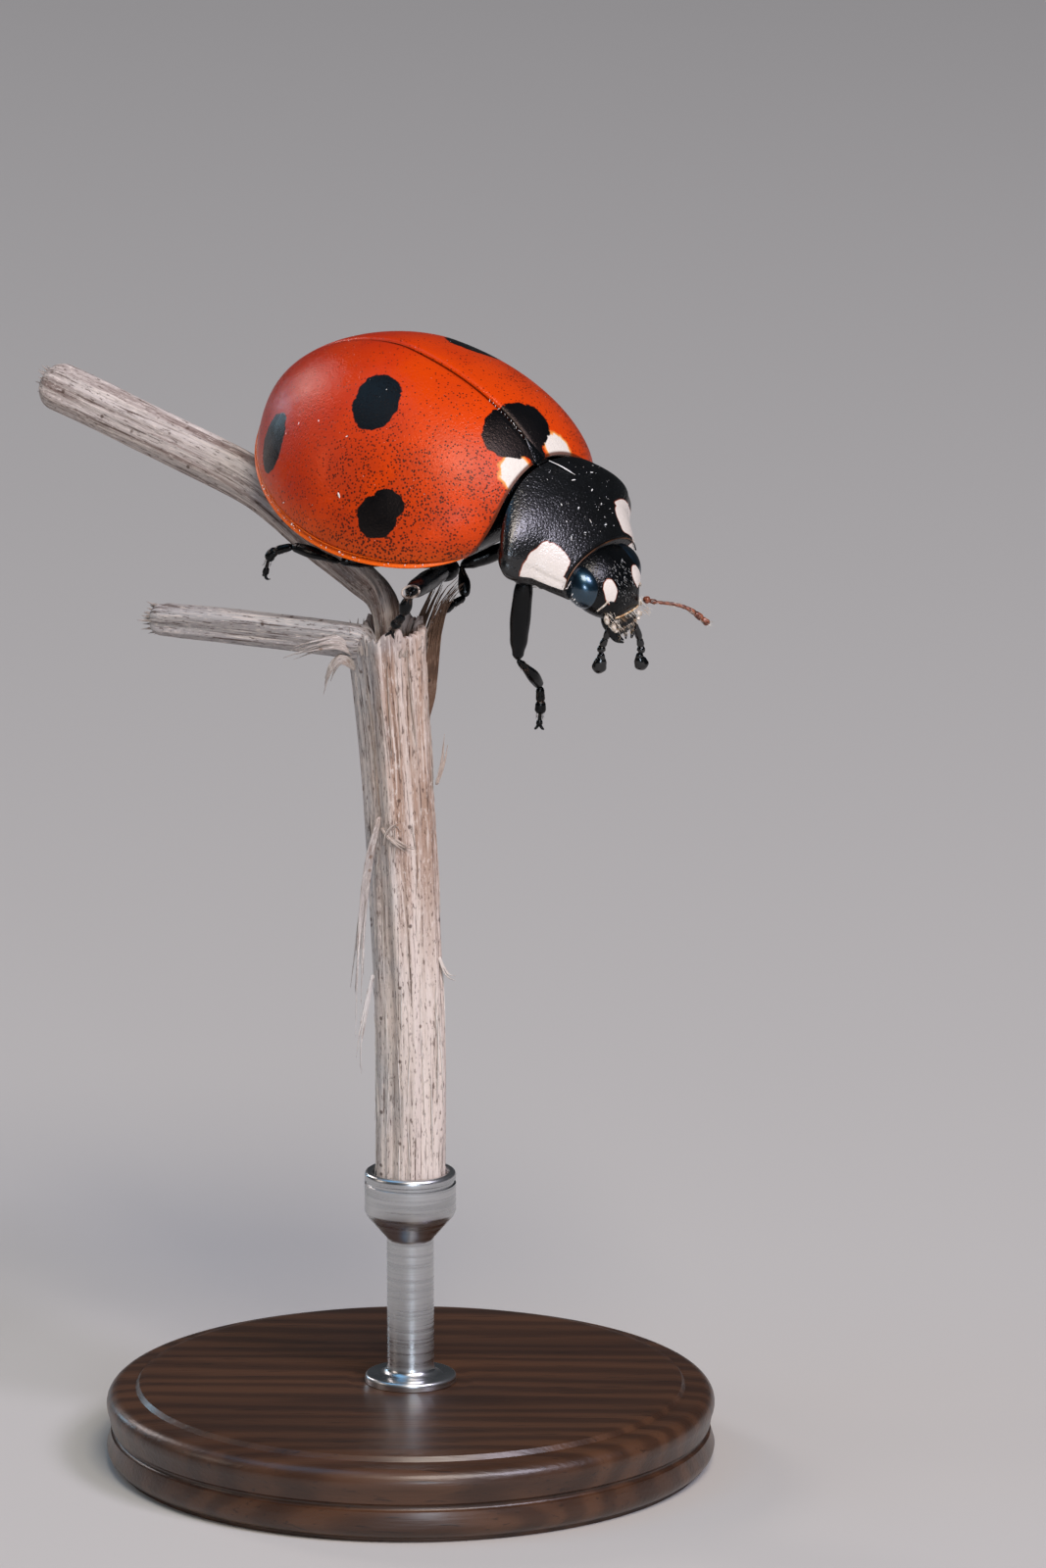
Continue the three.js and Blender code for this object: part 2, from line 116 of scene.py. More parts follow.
def smoothLine(points, steps):
    # a curve through the points, with two directions square to it at each step, and how long it
    # is up to each step
    points = [Vector(p) for p in points]
    padded = [2 * points[0] - points[1]] + points + [2 * points[-1] - points[-2]]
    spans = len(points) - 1
    line = []
    for step in range(steps + 1):
        span = min(spans - 1, int(step * spans / steps))
        f = step * spans / steps - span
        a, b, c, d = padded[span:span + 4]
        line.append(0.5 * (2 * b + (c - a) * f + (2 * a - 5 * b + 4 * c - d) * f ** 2
                           + (3 * b - a - 3 * c + d) * f ** 3))
    gone = [0]
    for before, after in zip(line, line[1:]):
        gone.append(gone[-1] + (after - before).length)
    frames = []
    side = None
    for i, point in enumerate(line):
        ahead = (line[min(i + 1, steps)] - line[max(i - 1, 0)]).normalized()
        side = side or ahead.orthogonal()
        side = (side - ahead * side.dot(ahead)).normalized()
        frames.append((point, side, ahead.cross(side)))
    return frames, gone


def rollTube(bm, points, radius, sides=12, steps=16, flat=1.0, fine=60):
    # a round-ended tube along the points; radius is a number, a list of stops or a function of
    # share and angle
    frames, gone = smoothLine(points, fine)
    length = gone[-1]

    def girthAt(share, angle):
        if callable(radius):
            return radius(share, angle)
        return readProfile(radius, share) if isinstance(radius, (list, tuple)) else radius

    def place(a, b):
        share, angle = ease(b), 2 * pi * a
        reach = girthAt(share, angle)
        toEnd = min(share, 1 - share) * length
        reach *= sqrt(max(0, 1 - (1 - clamp(toEnd / max(reach, tiny))) ** 2))
        goal = share * length
        i = next((k for k in range(fine) if gone[k + 1] >= goal), fine - 1)
        f = clamp((goal - gone[i]) / max(tiny, gone[i + 1] - gone[i]))
        point, side, up = [p.lerp(q, f) for p, q in zip(frames[i], frames[i + 1])]
        return point + side * (reach * cos(angle)) + up * (reach * flat * sin(angle))

    closeSeams(bm, bendSheet(bm, sides, steps, place, (2 * pi * girthAt(0.5, 0), length)))


def addEgg(bm, centre, radii, turn=(0, 0, 0), around=20, up=12, shape=None):
    # a ball with three radii, turned in degrees; shape(point) may bend the ball first
    turned = Euler([radians(a) for a in turn]).to_matrix()
    layer = skinMap(bm)
    made = bmesh.ops.create_uvsphere(bm, u_segments=around, v_segments=up, radius=1)["verts"]
    for vert in made:
        point = shape(vert.co) if shape else Vector([r * c for r, c in zip(radii, vert.co)])
        vert.co = turned @ point + Vector(centre)
    for face in facesOf(made):
        for loop in face.loops:
            loop[layer].uv = (loop.vert.co.x, loop.vert.co.y)


def keepPiece(name, bm, place, finish, nodes=(), sharpAngle=None, turnOut=True):
    if turnOut:
        bmesh.ops.recalc_face_normals(bm, faces=bm.faces[:])
    bmesh.ops.transform(bm, matrix=place, verts=bm.verts[:])
    mesh = bpy.data.meshes.new(name)
    bm.to_mesh(mesh)
    bm.free()
    mesh.shade_smooth()
    if sharpAngle:
        mesh.set_sharp_from_angle(angle=radians(sharpAngle))
    mesh.materials.append(finish)
    piece = bpy.data.objects.new(name, mesh)
    bpy.context.scene.collection.objects.link(piece)
    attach(piece, "root")
    if nodes:
        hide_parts(*nodes)
    return piece


def hexColour(code):
    # sRGB hex to the linear values that the shaders take
    parts = [int(code[i:i + 2], 16) / 255 for i in (1, 3, 5)]
    return [p / 12.92 if p <= 0.04045 else ((p + 0.055) / 1.055) ** 2.4 for p in parts] + [1]


def setNode(node, values):
    # a value may be a number, a hex colour, or a node or socket to link from
    for key, value in values.items():
        if isinstance(key, str) and key not in node.inputs:
            setattr(node, key, value)
            continue
        if isinstance(value, bpy.types.Node):
            value = next(socket for socket in value.outputs if socket.enabled)
        if isinstance(value, bpy.types.NodeSocket):
            node.id_data.links.new(value, node.inputs[key])
        else:
            node.inputs[key].default_value = hexColour(value) if isinstance(value, str) else value
    return node


def addNode(tree, kind, values):
    return setNode(tree.nodes.new("ShaderNode" + kind), values)


def startFinish(name, values):
    # a new material, its shader, the place in mm, and what adds a node to the material
    finish = bpy.data.materials.new(name)
    finish.use_nodes = True
    add = partial(addNode, finish.node_tree)
    shader = setNode(finish.node_tree.nodes["Principled BSDF"], values)
    place = add("TexCoord", {})
    inMm = add("VectorMath", {"operation": "SCALE", 0: place.outputs["Object"], "Scale": 1 / mm})
    return finish, shader, inMm, add


def paintLayers(add, shader, paint, ground, layers):
    # each layer covers more of what lies below as its source goes from low to high; a colour is a
    # name in the paint or a hex code
    ground = paint.get(ground, ground)
    for source, low, high, most, colour in layers:
        share = add("MapRange", {"interpolation_type": "SMOOTHSTEP", "Value": source,
                                 "From Min": low, "From Max": high, "To Max": most})
        ground = add("Mix", {"data_type": "RGBA", 0: share, 6: ground, 7: paint.get(colour, colour)})
    setNode(shader, {"Base Color": ground})


def pressRelief(add, shader, reliefs):
    # each relief is a height and its depth in millimetres
    values = {}
    for height, depth in reliefs:
        values = {"Normal": add("Bump", {**values, "Height": height, "Distance": depth * mm})}
    setNode(shader, values)


def wander(add, source, scale, reach):
    # the map, moved about by noise so that what is drawn on it gets a ragged edge
    cloud = add("TexNoise", {"Vector": source[0], "Scale": scale, "Detail": 4})
    centred = add("VectorMath", {"operation": "SUBTRACT", 0: cloud.outputs["Color"], 1: (0.5, 0.5, 0.5)})
    return add("VectorMath", {"operation": "MULTIPLY_ADD", 0: centred, 1: (reach,) * 3, 2: source[1]})


def markPatches(add, flat, patches, squared=False):
    # how far out of the nearest patch a point is: under 1 inside. A patch is its centre, its half
    # sizes and its turn in degrees; it is an oval, or if squared a square with round corners
    nearest = None
    for centre, halfSizes, turn in patches:
        far = add("Mapping", {"vector_type": "TEXTURE", "Vector": flat, "Location": (*centre, 0),
                              "Rotation": (0, 0, radians(turn)), "Scale": (*halfSizes, 1)})
        if squared:
            far = add("VectorMath", {"operation": "MULTIPLY", 0: far, 1: far})
        far = add("VectorMath", {"operation": "LENGTH", 0: far})
        nearest = add("Math", {"operation": "MINIMUM", 0: nearest, 1: far}) if nearest else far
    return nearest


# Wing case: chitin over an orange-red pigment, polished by its own wax. The eye gets a soft gloss,
# broken up by fine pits with dark grains in them, over orange that turns to red at the tail.
wingCasePaint = {
    # speck is the dark of the pit grains and also painted shade in the rim groove and down the seam;
    # brown is painted shade along the front edge, under the pronotum
    "orange": "#d54004", "red": "#c02c04", "dusk": "#742004", "amber": "#e86008", "speck": "#2c0d05",
    "black": "#040609", "white": "#e4dcd2", "cream": "#eda24e", "brown": "#55220c",
    "pitSpacing": 0.05, "pitDepth": 0.004, "grainDepth": 0.0085, "ragged": 0.16,
    "dullest": 0.34, "glossiest": 0.2,  # roughness of the wax
    # centre, half sizes and turn on a map of mm round from the seam and mm back from the front
    "spots": [((1.35, 2.53), (0.53, 0.42), -17.6), ((2.86, 1.47), (0.28, 0.29), 0),
              ((3.14, 1.58), (0.4, 0.345), 0), ((2.98, 4.42), (0.68, 0.34), 0),
              ((0.0, 0.50), (0.95, 0.41), 0), ((0.0, 0.08), (0.3, 0.3), 0)],
    "whites": [((0.95, 0.03), (0.5, 0.25), -6)],
    # the line of the rim groove, which gets painted shade
    "grooveShade": [((4.03, 3.0), (0.035, 9), 0)],
}


def makeWingCaseFinish(paint):
    finish, shader, inMm, add = startFinish("wing case, waxy orange-red chitin", {
        "IOR": 1.5, "Coat Weight": 0.12, "Specular IOR Level": 0.27, "Specular Tint": "#ffd9c4"})
    flat = add("UVMap", {"uv_map": "UVMap"})
    fromSeam, fromFront = add("SeparateXYZ", {0: flat}).outputs[:2]
    ragged = wander(add, (inMm, flat), 7, paint["ragged"])
    clouds = add("TexNoise", {"Vector": inMm, "Scale": 1.2, "Detail": 5})
    redness = add("Math", {"operation": "MULTIPLY_ADD", 0: clouds, 1: 5.0, 2: fromFront})
    cells = add("TexVoronoi", {"Vector": inMm, "Scale": 1 / paint["pitSpacing"]})
    chance = add("SeparateColor", {0: cells.outputs["Color"]})
    # grains are thick at the shoulder and down the side, and thin elsewhere
    sideways = add("MapRange", {"Value": fromSeam, "From Min": 1.0, "From Max": 3.0, "To Min": 0.35})
    ahead = add("MapRange", {"Value": fromFront, "From Min": 3.4, "From Max": 1.2, "To Min": 0.3})
    patchy = add("MapRange", {"Value": clouds, "From Min": 0.36, "From Max": 0.6, "To Min": 0.6,
                              "To Max": 2.2})
    dense = add("Math", {"operation": "MULTIPLY", 0: sideways, 1: ahead})
    dense = add("Math", {"operation": "MULTIPLY", 0: dense, 1: patchy})
    chosen = add("Math", {"operation": "LESS_THAN", 0: chance, 1: dense})
    # where grains are thick they are larger too, and the wax between them is duller
    reach = add("Math", {"operation": "MULTIPLY_ADD", 0: dense, 1: -0.1, 2: cells})
    dot = add("MapRange", {"Value": reach, "From Min": 0.32, "From Max": 0.14})
    grain = add("Math", {"operation": "MULTIPLY", 0: dot, 1: chosen})
    groove = markPatches(add, flat, paint["grooveShade"])
    white = markPatches(add, ragged, paint["whites"])
    spot = markPatches(add, ragged, paint["spots"])
    # Painted shade among these layers: the speck colour in the rim groove, the brown strip at the front
    # edge under the pronotum, and the speck line down the seam.
    paintLayers(add, shader, paint, "orange", [
        (redness, 3.4, 7.6, 1, "red"), (fromSeam, 3.3, 4.1, 0.5, "amber"),
        (dense, 0.3, 1.4, 0.28, "dusk"), (grain, 0, 1, 0.9, "speck"), (groove, 1, 0.2, 0.5, "speck"),
        (fromSeam, 4.05, 4.09, 1, "amber"), (white, 1.22, 1, 1, "cream"),
        (white, 1.04, 0.94, 1, "white"), (fromFront, 0.05, 0.02, 0.9, "brown"),
        (spot, 1.04, 0.99, 1, "black"), (fromSeam, 0.024, 0.008, 0.75, "speck")])
    fine = add("TexNoise", {"Vector": inMm, "Scale": 22, "Detail": 3})
    pit = add("MapRange", {"Value": cells, "From Max": 0.4})
    pressRelief(add, shader, [(fine, paint["grainDepth"]), (pit, paint["pitDepth"])])
    worn = add("MapRange", {"Value": clouds, "From Min": 0.3, "From Max": 0.7,
                            "To Min": paint["glossiest"], "To Max": paint["dullest"]})
    dull = add("Math", {"operation": "MULTIPLY_ADD", 0: dense, 1: 0.08, 2: worn})
    setNode(shader, {"Roughness": dull, "Coat Roughness": dull})
    return finish


def makeChitin(name, paint, patches=(), squared=False):
    # near-black cuticle with fine pits; the patches are bare white pigment with a brown fringe
    finish, shader, inMm, add = startFinish(name, {
        "Roughness": paint["rough"], "IOR": 1.5, "Specular IOR Level": paint["shine"]})
    clouds = add("TexNoise", {"Vector": inMm, "Scale": 4, "Detail": 4})
    layers = [(clouds, 0.35, 0.7, 1, "light")]
    if patches:
        flat = add("UVMap", {"uv_map": "UVMap"})
        inside = markPatches(add, wander(add, (inMm, flat), 6, paint["ragged"]), patches, squared)
        layers += [(inside, 1.09, 1.0, 1, "fringe"), (inside, 1.02, 0.95, 1, "white")]
    paintLayers(add, shader, paint, "dark", layers)
    cells = add("TexVoronoi", {"Vector": inMm, "Scale": 1 / paint["pitSpacing"]})
    pit = add("MapRange", {"Value": cells, "From Max": 0.45})
    fine = add("TexNoise", {"Vector": inMm, "Scale": 24, "Detail": 2})
    pressRelief(add, shader, [(fine, paint["grainDepth"]), (pit, paint["pitDepth"])])
    return finish


chitinPaint = {"dark": "#020304", "light": "#06080a", "rough": 0.24, "shine": 0.3, "pitSpacing": 0.05,
               "pitDepth": 0.004, "grainDepth": 0.0065, "ragged": 0.03, "fringe": "#8a3a10",
               "white": "#e0d7ce"}
wingCaseFinish = makeWingCaseFinish(wingCasePaint)
# Body shell: black chitin, pitted all over, with the gloss of satin varnish.
shellFinish = makeChitin("body shell, pitted black chitin", chitinPaint)
# Leg shell: the same chitin, smoother and glossier.
legFinish = makeChitin("leg shell, glossy black chitin",
                       dict(chitinPaint, rough=0.22, shine=0.24, pitDepth=0.002, grainDepth=0.0015))
# Palp shell: thicker wax over the same chitin, which gives it sharp bright highlights.
palpFinish = makeChitin("palp shell, polished black chitin",
                        dict(chitinPaint, rough=0.14, shine=0.7, pitDepth=0.001, grainDepth=0.0008))


def makePlainFinish(name, dark, light, scale, rough, relief=0.0):
    # clouds of two close colours, with a relief in mm that follows them
    finish, shader, inMm, add = startFinish(name, {"Roughness": rough})
    cloud = add("TexNoise", {"Vector": inMm, "Scale": scale, "Detail": 4})
    paintLayers(add, shader, {}, dark, [(cloud, 0.35, 0.65, 1, light)])
    if relief:
        pressRelief(add, shader, [(cloud, relief)])
    return finish


# Feeler shell: thin amber-brown chitin with a satin gloss.
amberFinish = makePlainFinish("feeler shell, amber-brown chitin", "#43211a", "#9a5a40", 14, 0.16, 0.002)
# Joint skin: cream and matt, with bare pigment in it.
creamFinish = makePlainFinish("joint skin, cream", "#b9a996", "#ece3d8", 16, 0.4, 0.012)
# Edge of the face plate: golden, a little glossy.
goldFinish = makePlainFinish("edge of the face plate, golden chitin", "#a57a4c", "#ecd6b4", 14, 0.35,
                             0.003)
# Clear rim: brown where it is thick, golden where the light comes through.
rimFinish = makePlainFinish("clear rim, brown and gold chitin", "#120a06", "#6a4020", 2.2, 0.35, 0.003)
# Edge of an open joint: thin clear chitin, whitish with a wet gloss.
clearFinish = makePlainFinish("clear edge of a joint, thin chitin", "#4a3a32", "#cbbcb0", 7, 0.2, 0.006)
# Bristles: clear straw-coloured hairs with a bright edge.
bristleFinish = makePlainFinish("bristle, straw-coloured chitin", "#a88a68", "#f4ebdd", 6, 0.3)
# Leg hairs: dark brown, so they show only against the light.
legHairFinish = makePlainFinish("leg hair, brown chitin", "#1c120d", "#6e5443", 6, 0.4)
# Fine hairs: clear and pale grey, tiny glints on the black shell.
paleHairFinish = makePlainFinish("fine hair, pale chitin", "#8d8984", "#e4e4e4", 6, 0.3)
# Pollen and dust: matt white crumbs.
dustFinish = makePlainFinish("pollen crumb, matt white", "#d9d3cb", "#ffffff", 11, 0.8)


def makeEyeFinish():
    # Compound eye: clear lenses over a blue-black ground. The eye gets a dark gloss with a blue
    # sheen, broken up by the lenses.
    finish, shader, inMm, add = startFinish("compound eye, clear lenses over blue-black", {
        "Roughness": 0.3, "IOR": 1.6, "Specular IOR Level": 0.85, "Specular Tint": "#5cb6e8",
        "Coat Weight": 1.0, "Coat IOR": 1.6, "Coat Roughness": 0.18})
    cells = add("TexVoronoi", {"Vector": inMm, "Scale": 38, "Randomness": 0.4})
    paintLayers(add, shader, {}, "#04090f", [(cells, 0.35, 0.75, 1, "#010204")])
    dome = add("MapRange", {"Value": cells, "From Max": 0.7, "To Min": 1, "To Max": 0})
    pressRelief(add, shader, [(dome, 0.0006)])
    return finish


eyeFinish = makeEyeFinish()
print("beetle finishes made")

wingCase = {
    "length": 5.8, "halfWidth": 2.69, "height": 2.64, "thickness": 0.11,
    "baseHeightShare": 0.5, "highestAt": 0.505, "baseWidthShare": 0.58, "widestAt": 0.386,
    "frontRoundness": 2.07, "rearRoundness": 1.87, "rearBluntness": 1.46,
    "rearSlope": 1.62, "rearSlopeBluntness": 1.77, "archPower": 1.17,
    "marginLift": 0.25, "marginLowestAt": 0.46,
    "shoulderForward": 0.16, "shoulderRounding": 0.4, "shoulderFrom": 0.5,
    "beadHeight": 0.035, "beadAt": 0.02, "beadWidth": 0.07,
    "grooveDepth": 0.03, "grooveAt": 0.15, "grooveWidth": 0.05,
    "seamDip": 0.05, "seamWidth": 0.045, "seamGap": 0.004,
    "foldFrom": 0.94, "foldWidth": 0.34, "archLength": 4.2, "across": 104, "along": 120,
}


def caseHalfWidth(t):
    w = wingCase
    roundness = w["frontRoundness"]
    if t < w["widestAt"]:
        start = (1 - w["baseWidthShare"] ** roundness) ** (1 / roundness)
        ahead = (w["widestAt"] - t) / w["widestAt"]
        return w["halfWidth"] * (1 - (start * ahead) ** roundness) ** (1 / roundness)
    behind = climb(t, w["widestAt"], 1)
    return w["halfWidth"] * (1 - behind ** w["rearRoundness"]) ** (1 / w["rearBluntness"])


def caseHeight(t):
    w = wingCase
    if t < w["highestAt"]:
        start = sqrt(1 - w["baseHeightShare"] ** 2)
        return w["height"] * sqrt(1 - (start * (w["highestAt"] - t) / w["highestAt"]) ** 2)
    behind = climb(t, w["highestAt"], 1)
    return w["height"] * (1 - behind ** w["rearSlope"]) ** (1 / w["rearSlopeBluntness"])


def marginHeight(t):
    return wingCase["marginLift"] * 4 * (t - wingCase["marginLowestAt"]) ** 2


def domePoint(t, u, inset=0.0):
    # a point of the dome: t from front to rear, u from the right margin, -1, to the left one, 1
    w = wingCase
    side, up = sin(u * pi / 2), max(0.0, cos(u * pi / 2)) ** w["archPower"]
    rearward = climb(t, w["widestAt"], 1) ** 3
    sideInset = inset * sqrt(1 - rearward ** 2)
    corner = climb(abs(u), w["shoulderFrom"], 1) ** 2 * (1 - t) ** 9
    x = -w["length"] * t + w["shoulderForward"] * (1 - t) ** 3 * side ** 2
    x += inset * rearward - w["shoulderRounding"] * corner
    return Vector((x, (caseHalfWidth(t) - sideInset) * side,
                   (caseHeight(t) - sideInset) * up + marginHeight(t)))


def makeWingCase(name, node, side):
    # from the seam on the back, over the dome to a beaded rim, and folded in under it
    w = wingCase
    foldFrom, endShare = w["foldFrom"], 0.9995

    def sideShare(a):
        return sin(clamp(a / foldFrom) * pi / 2) ** 0.92

    def place(a, b):
        t, u = endShare * ease(b), sideShare(a)
        toRim, toSeam = (1 - u) * w["archLength"], u * w["archLength"]
        swell = w["beadHeight"] * ridge(toRim, w["beadAt"], w["beadWidth"])
        swell -= w["grooveDepth"] * ridge(toRim, w["grooveAt"], w["grooveWidth"])
        point = domePoint(t, u, w["seamDip"] * ridge(toSeam, 0, w["seamWidth"]) - swell)
        if a > foldFrom:
            inward = climb(a, foldFrom, 1) * w["foldWidth"] * min(1, caseHalfWidth(t))
            rearward = 0.8 * climb(t, 0.8, 1)
            point += Vector((rearward * inward, -inward, (0.25 * inward - 0.05) * inward))
        return Vector((point.x, side * max(point.y, w["seamGap"]), point.z))

    bm = bmesh.new()
    bendSheet(bm, w["across"], w["along"], place)
    layer = skinMap(bm)
    for face in bm.faces:
        for loop in face.loops:
            a, b = loop[layer].uv
            loop[layer].uv = (sideShare(a) * w["archLength"], endShare * ease(b) * w["length"])
    closeSeams(bm, reach=0.0015)
    bmesh.ops.recalc_face_normals(bm, faces=bm.faces[:])
    if max(bm.faces, key=lambda face: face.calc_center_median().z).normal.z < 0:
        bmesh.ops.reverse_faces(bm, faces=bm.faces[:])
    piece = keepPiece(name, bm, beetlePlace, wingCaseFinish, [node], turnOut=False)
    wall = piece.modifiers.new("wall", "SOLIDIFY")
    wall.thickness = w["thickness"] * mm
    wall.offset = -1
    wall.use_even_offset = False


makeWingCase("wing_case_right", "elytron_right", -1)
makeWingCase("wing_case_left", "elytron_left", 1)

scutellum = {"halfWidth": 0.14, "front": 0.07, "rear": 0.34, "rise": 0.012, "thickness": 0.05}


def placeScutellum(a, b):
    # the small triangle where the two wing cases meet the front body
    x = mix(scutellum["front"], -scutellum["rear"], b)
    y = (2 * a - 1) * scutellum["halfWidth"] * (1 - b) ** 0.8
    ground = domePoint(max(0, -x) / wingCase["length"], y / caseHalfWidth(0) * 2 / pi)
    return Vector((x, y, ground.z + scutellum["rise"] * (1 - (2 * a - 1) ** 2)))


bm = bmesh.new()
closeSeams(bm, bendSheet(bm, 12, 14, placeScutellum))
bmesh.ops.recalc_face_normals(bm, faces=bm.faces[:])
bmesh.ops.solidify(bm, geom=bm.faces[:], thickness=scutellum["thickness"])
keepPiece("scutellum", bm, beetlePlace, shellFinish)
print("wing cases made")

belly = {"depth": 0.46, "fullness": 1.2, "deepensFrom": 0.005, "deepTo": 0.145, "cover": 0.2,
         "topInset": 0.62, "frontShare": 0.03, "partShare": 0.31, "partGap": 0.004, "rearShare": 0.955,
         "step": 0.035, "capShare": 0.04, "hairs": 500}


def bellyPoint(t, angle):
    margin = domePoint(t, 1, belly["cover"])
    deepened = climb(t, belly["deepensFrom"], belly["deepTo"])
    drop = belly["depth"] * deepened * min(1, margin.y) * abs(sin(angle)) ** belly["fullness"]
    return Vector((margin.x, margin.y * cos(angle), margin.z - drop))


def makeBelly(name, fromShare, toShare, plates, nodes):
    # plates that overlap like roof tiles, from the front to the rear
    capShare = belly["capShare"]

    def place(a, b):
        t = mix(fromShare, toShare, climb(b, capShare, 1 - capShare))
        angle = 2 * pi * a
        if sin(angle) >= 0:
            inset = mix(belly["cover"], belly["topInset"], sin(angle) ** 0.5)
            point = domePoint(t, 1 - angle / (pi / 2), inset)
        else:
            along = (t - fromShare) / (toShare - fromShare) * plates
            point = bellyPoint(t, angle)
            point.z += belly["step"] * (0.5 - along % 1) * abs(sin(angle)) ** 0.5
        centre = Vector((domePoint(t, 0, belly["topInset"]).x, 0, marginHeight(t)))
        return centre.lerp(point, clamp(min(b, 1 - b) / capShare) ** 0.5)

    bm = bmesh.new()
    bendSheet(bm, 96, 26 * plates, place)
    closeSeams(bm)
    keepPiece(name, bm, beetlePlace, shellFinish, nodes)


makeBelly("thorax_shell", belly["frontShare"], belly["partShare"], 2, ["thorax_underside"])
makeBelly("abdomen_plates", belly["partShare"] + belly["partGap"], belly["rearShare"], 5, ["abdomen"])

pronotum = {
    "rearX": 0.04, "frontX": 1.38, "rearTop": 1.5, "frontTop": 0.44, "crown": 0.1,
    "rearMargin": 0.5, "frontMargin": -0.05, "rearHalfWidth": 1.42, "widestHalf": 1.66, "widestAt": 0.3,
    "frontHalfWidth": 0.94, "cornerForward": 0.28, "undersideDepth": 0.42,
    "border": 0.02, "beadWidth": 0.07, "grooveAt": 0.17, "grooveWidth": 0.06,
    "edgeRadius": 0.05, "rimRadius": 0.011, "rimReach": 0.012,
    # centre and half sizes on a map of share over the back, 0 to 1, and share from rear to front,
    # for one side
    "patches": [((0.135, 0.8), (0.135, 0.155), 0), ((0.0, 0.765), (0.13, 0.275), 0),
                ((0.06, 0.72), (0.12, 0.2), 38)],
}


def pronotumPoint(s, angle):
    # s from rear to front; the angle from the left margin, 0, over the back to the right one
    p = pronotum
    swell = sin(pi / 2 * min(2, s / p["widestAt"]))
    halfWidth = mix(mix(p["rearHalfWidth"], p["widestHalf"], swell), p["frontHalfWidth"],
                    climb(s, p["widestAt"], 1) ** 1.5)
    side, rise = cos(angle), abs(sin(angle))
    top = mix(p["rearTop"], p["frontTop"], s) + p["crown"] * sin(pi * s)
    margin = mix(p["rearMargin"], p["frontMargin"], s)
    x = mix(p["rearX"], p["frontX"], s) + p["cornerForward"] * side ** 2 * (1 - s)
    if sin(angle) >= 0:
        z = mix(margin, top, rise ** 0.95)
    else:
        z = margin - p["undersideDepth"] * rise ** 0.8
    bead = ridge(rise, 0, p["beadWidth"]) - ridge(rise, p["grooveAt"], p["grooveWidth"])
    return Vector((x, (halfWidth + p["border"] * bead) * side, z))


# Pronotum: the body's black chitin with more sheen, and bare white corners with a thin brown edge.
otherSide = [((1 - x, y), halfSizes, -turn) for (x, y), halfSizes, turn in pronotum["patches"]]
pronotumFinish = makeChitin("pronotum, pitted black chitin with white corners",
                            dict(chitinPaint, rough=0.27, shine=0.75), pronotum["patches"] + otherSide,
                            squared=True)
bm = bmesh.new()
# the map's first share goes on from the left margin at 1, under the body, to 2
bendSheet(bm, 144, 44, lambda a, b: pronotumPoint(b, pi * (1 - 2 * a)), (2, 1))
closeSeams(bm)
bmesh.ops.holes_fill(bm, edges=[e for e in bm.edges if e.is_boundary], sides=200)
rings = [e for e in bm.edges if any(len(f.verts) > 20 for f in e.link_faces)]
bmesh.ops.bevel(bm, geom=rings, offset=pronotum["edgeRadius"], segments=4, profile=0.5,
                affect="EDGES", material=-1)
keepPiece("pronotum_shield", bm, beetlePlace, pronotumFinish, ["pronotum"], sharpAngle=50)

# The front edge of the pronotum ends in a thin clear rim.
bm = bmesh.new()
rimShift = Vector((pronotum["rimReach"], 0, -pronotum["rimReach"]))
arch = [pronotumPoint(1.0, pi * (1 - a / 12)) + rimShift for a in range(13)]
rollTube(bm, arch, pronotum["rimRadius"], sides=8, steps=60)
keepPiece("pronotum_front_rim", bm, beetlePlace, rimFinish)
print("body made")

head = {
    "centre": (1.5, 0, -0.2), "tip": 50, "halfLength": 0.68, "halfWidth": 0.74, "halfHeight": 0.42,
    "mouthHalfWidth": 0.56, "narrowsFrom": 0.2, "mouthDrop": 0.05,
    "eyeCentre": (-0.08, 0.5, 0.0), "eyeRadii": (0.4, 0.32, 0.315), "eyeTurn": -8,
    "spots": [((0.2, 0.41), (0.195, 0.17), 8), ((0.19, -0.335), (0.2, 0.125), -8)],
    # front and rear edge of each plate (x, half width and z), its thickness and its swelling
    "plates": [((0.34, 0.4, 0.27), (0.645, 0.33, 0.1), 0.09, 0.08),
               ((0.62, 0.29, 0.03), (0.93, 0.23, -0.12), 0.08, 0.07)],
}
headPlace = (beetlePlace @ Matrix.Translation(head["centre"])
             @ Matrix.Rotation(radians(head["tip"]), 4, "Y"))
# Head: the body's black chitin, with a white spot of bare pigment beside each eye.
headFinish = makeChitin("head shell, pitted black chitin with two white spots",
                        dict(chitinPaint, ragged=0.06), head["spots"])


def narrowHead(x):
    # how far the head has narrowed towards the mouth, and its half width there
    narrowed = climb(x, head["narrowsFrom"], 1) ** 1.5
    return narrowed, mix(head["halfWidth"], head["mouthHalfWidth"], narrowed)


def headShape(point):
    narrowed, halfWidth = narrowHead(point.x)
    return Vector((point.x * head["halfLength"], point.y * halfWidth,
                   point.z * head["halfHeight"] - head["mouthDrop"] * narrowed))


def facePoint(x, y, lift=0.0):
    # the point of the face over x, y in the head's own frame
    narrowed, halfWidth = narrowHead(x / head["halfLength"])
    left = max(0.0, 1 - (x / head["halfLength"]) ** 2 - (y / halfWidth) ** 2)
    return Vector((x, y, head["halfHeight"] * sqrt(left) - head["mouthDrop"] * narrowed + lift))


bm = bmesh.new()
addEgg(bm, (0, 0, 0), (1, 1, 1), around=96, up=64, shape=headShape)
keepPiece("head_capsule", bm, headPlace, headFinish, ["head"])

for side, name in ((1, "eye_left"), (-1, "eye_right")):
    bm = bmesh.new()
    x, y, z = head["eyeCentre"]
    addEgg(bm, (x, side * y, z), head["eyeRadii"], (side * head["eyeTurn"], 0, 0), 64, 40)
    keepPiece(name + "_lens", bm, headPlace, eyeFinish, [name])


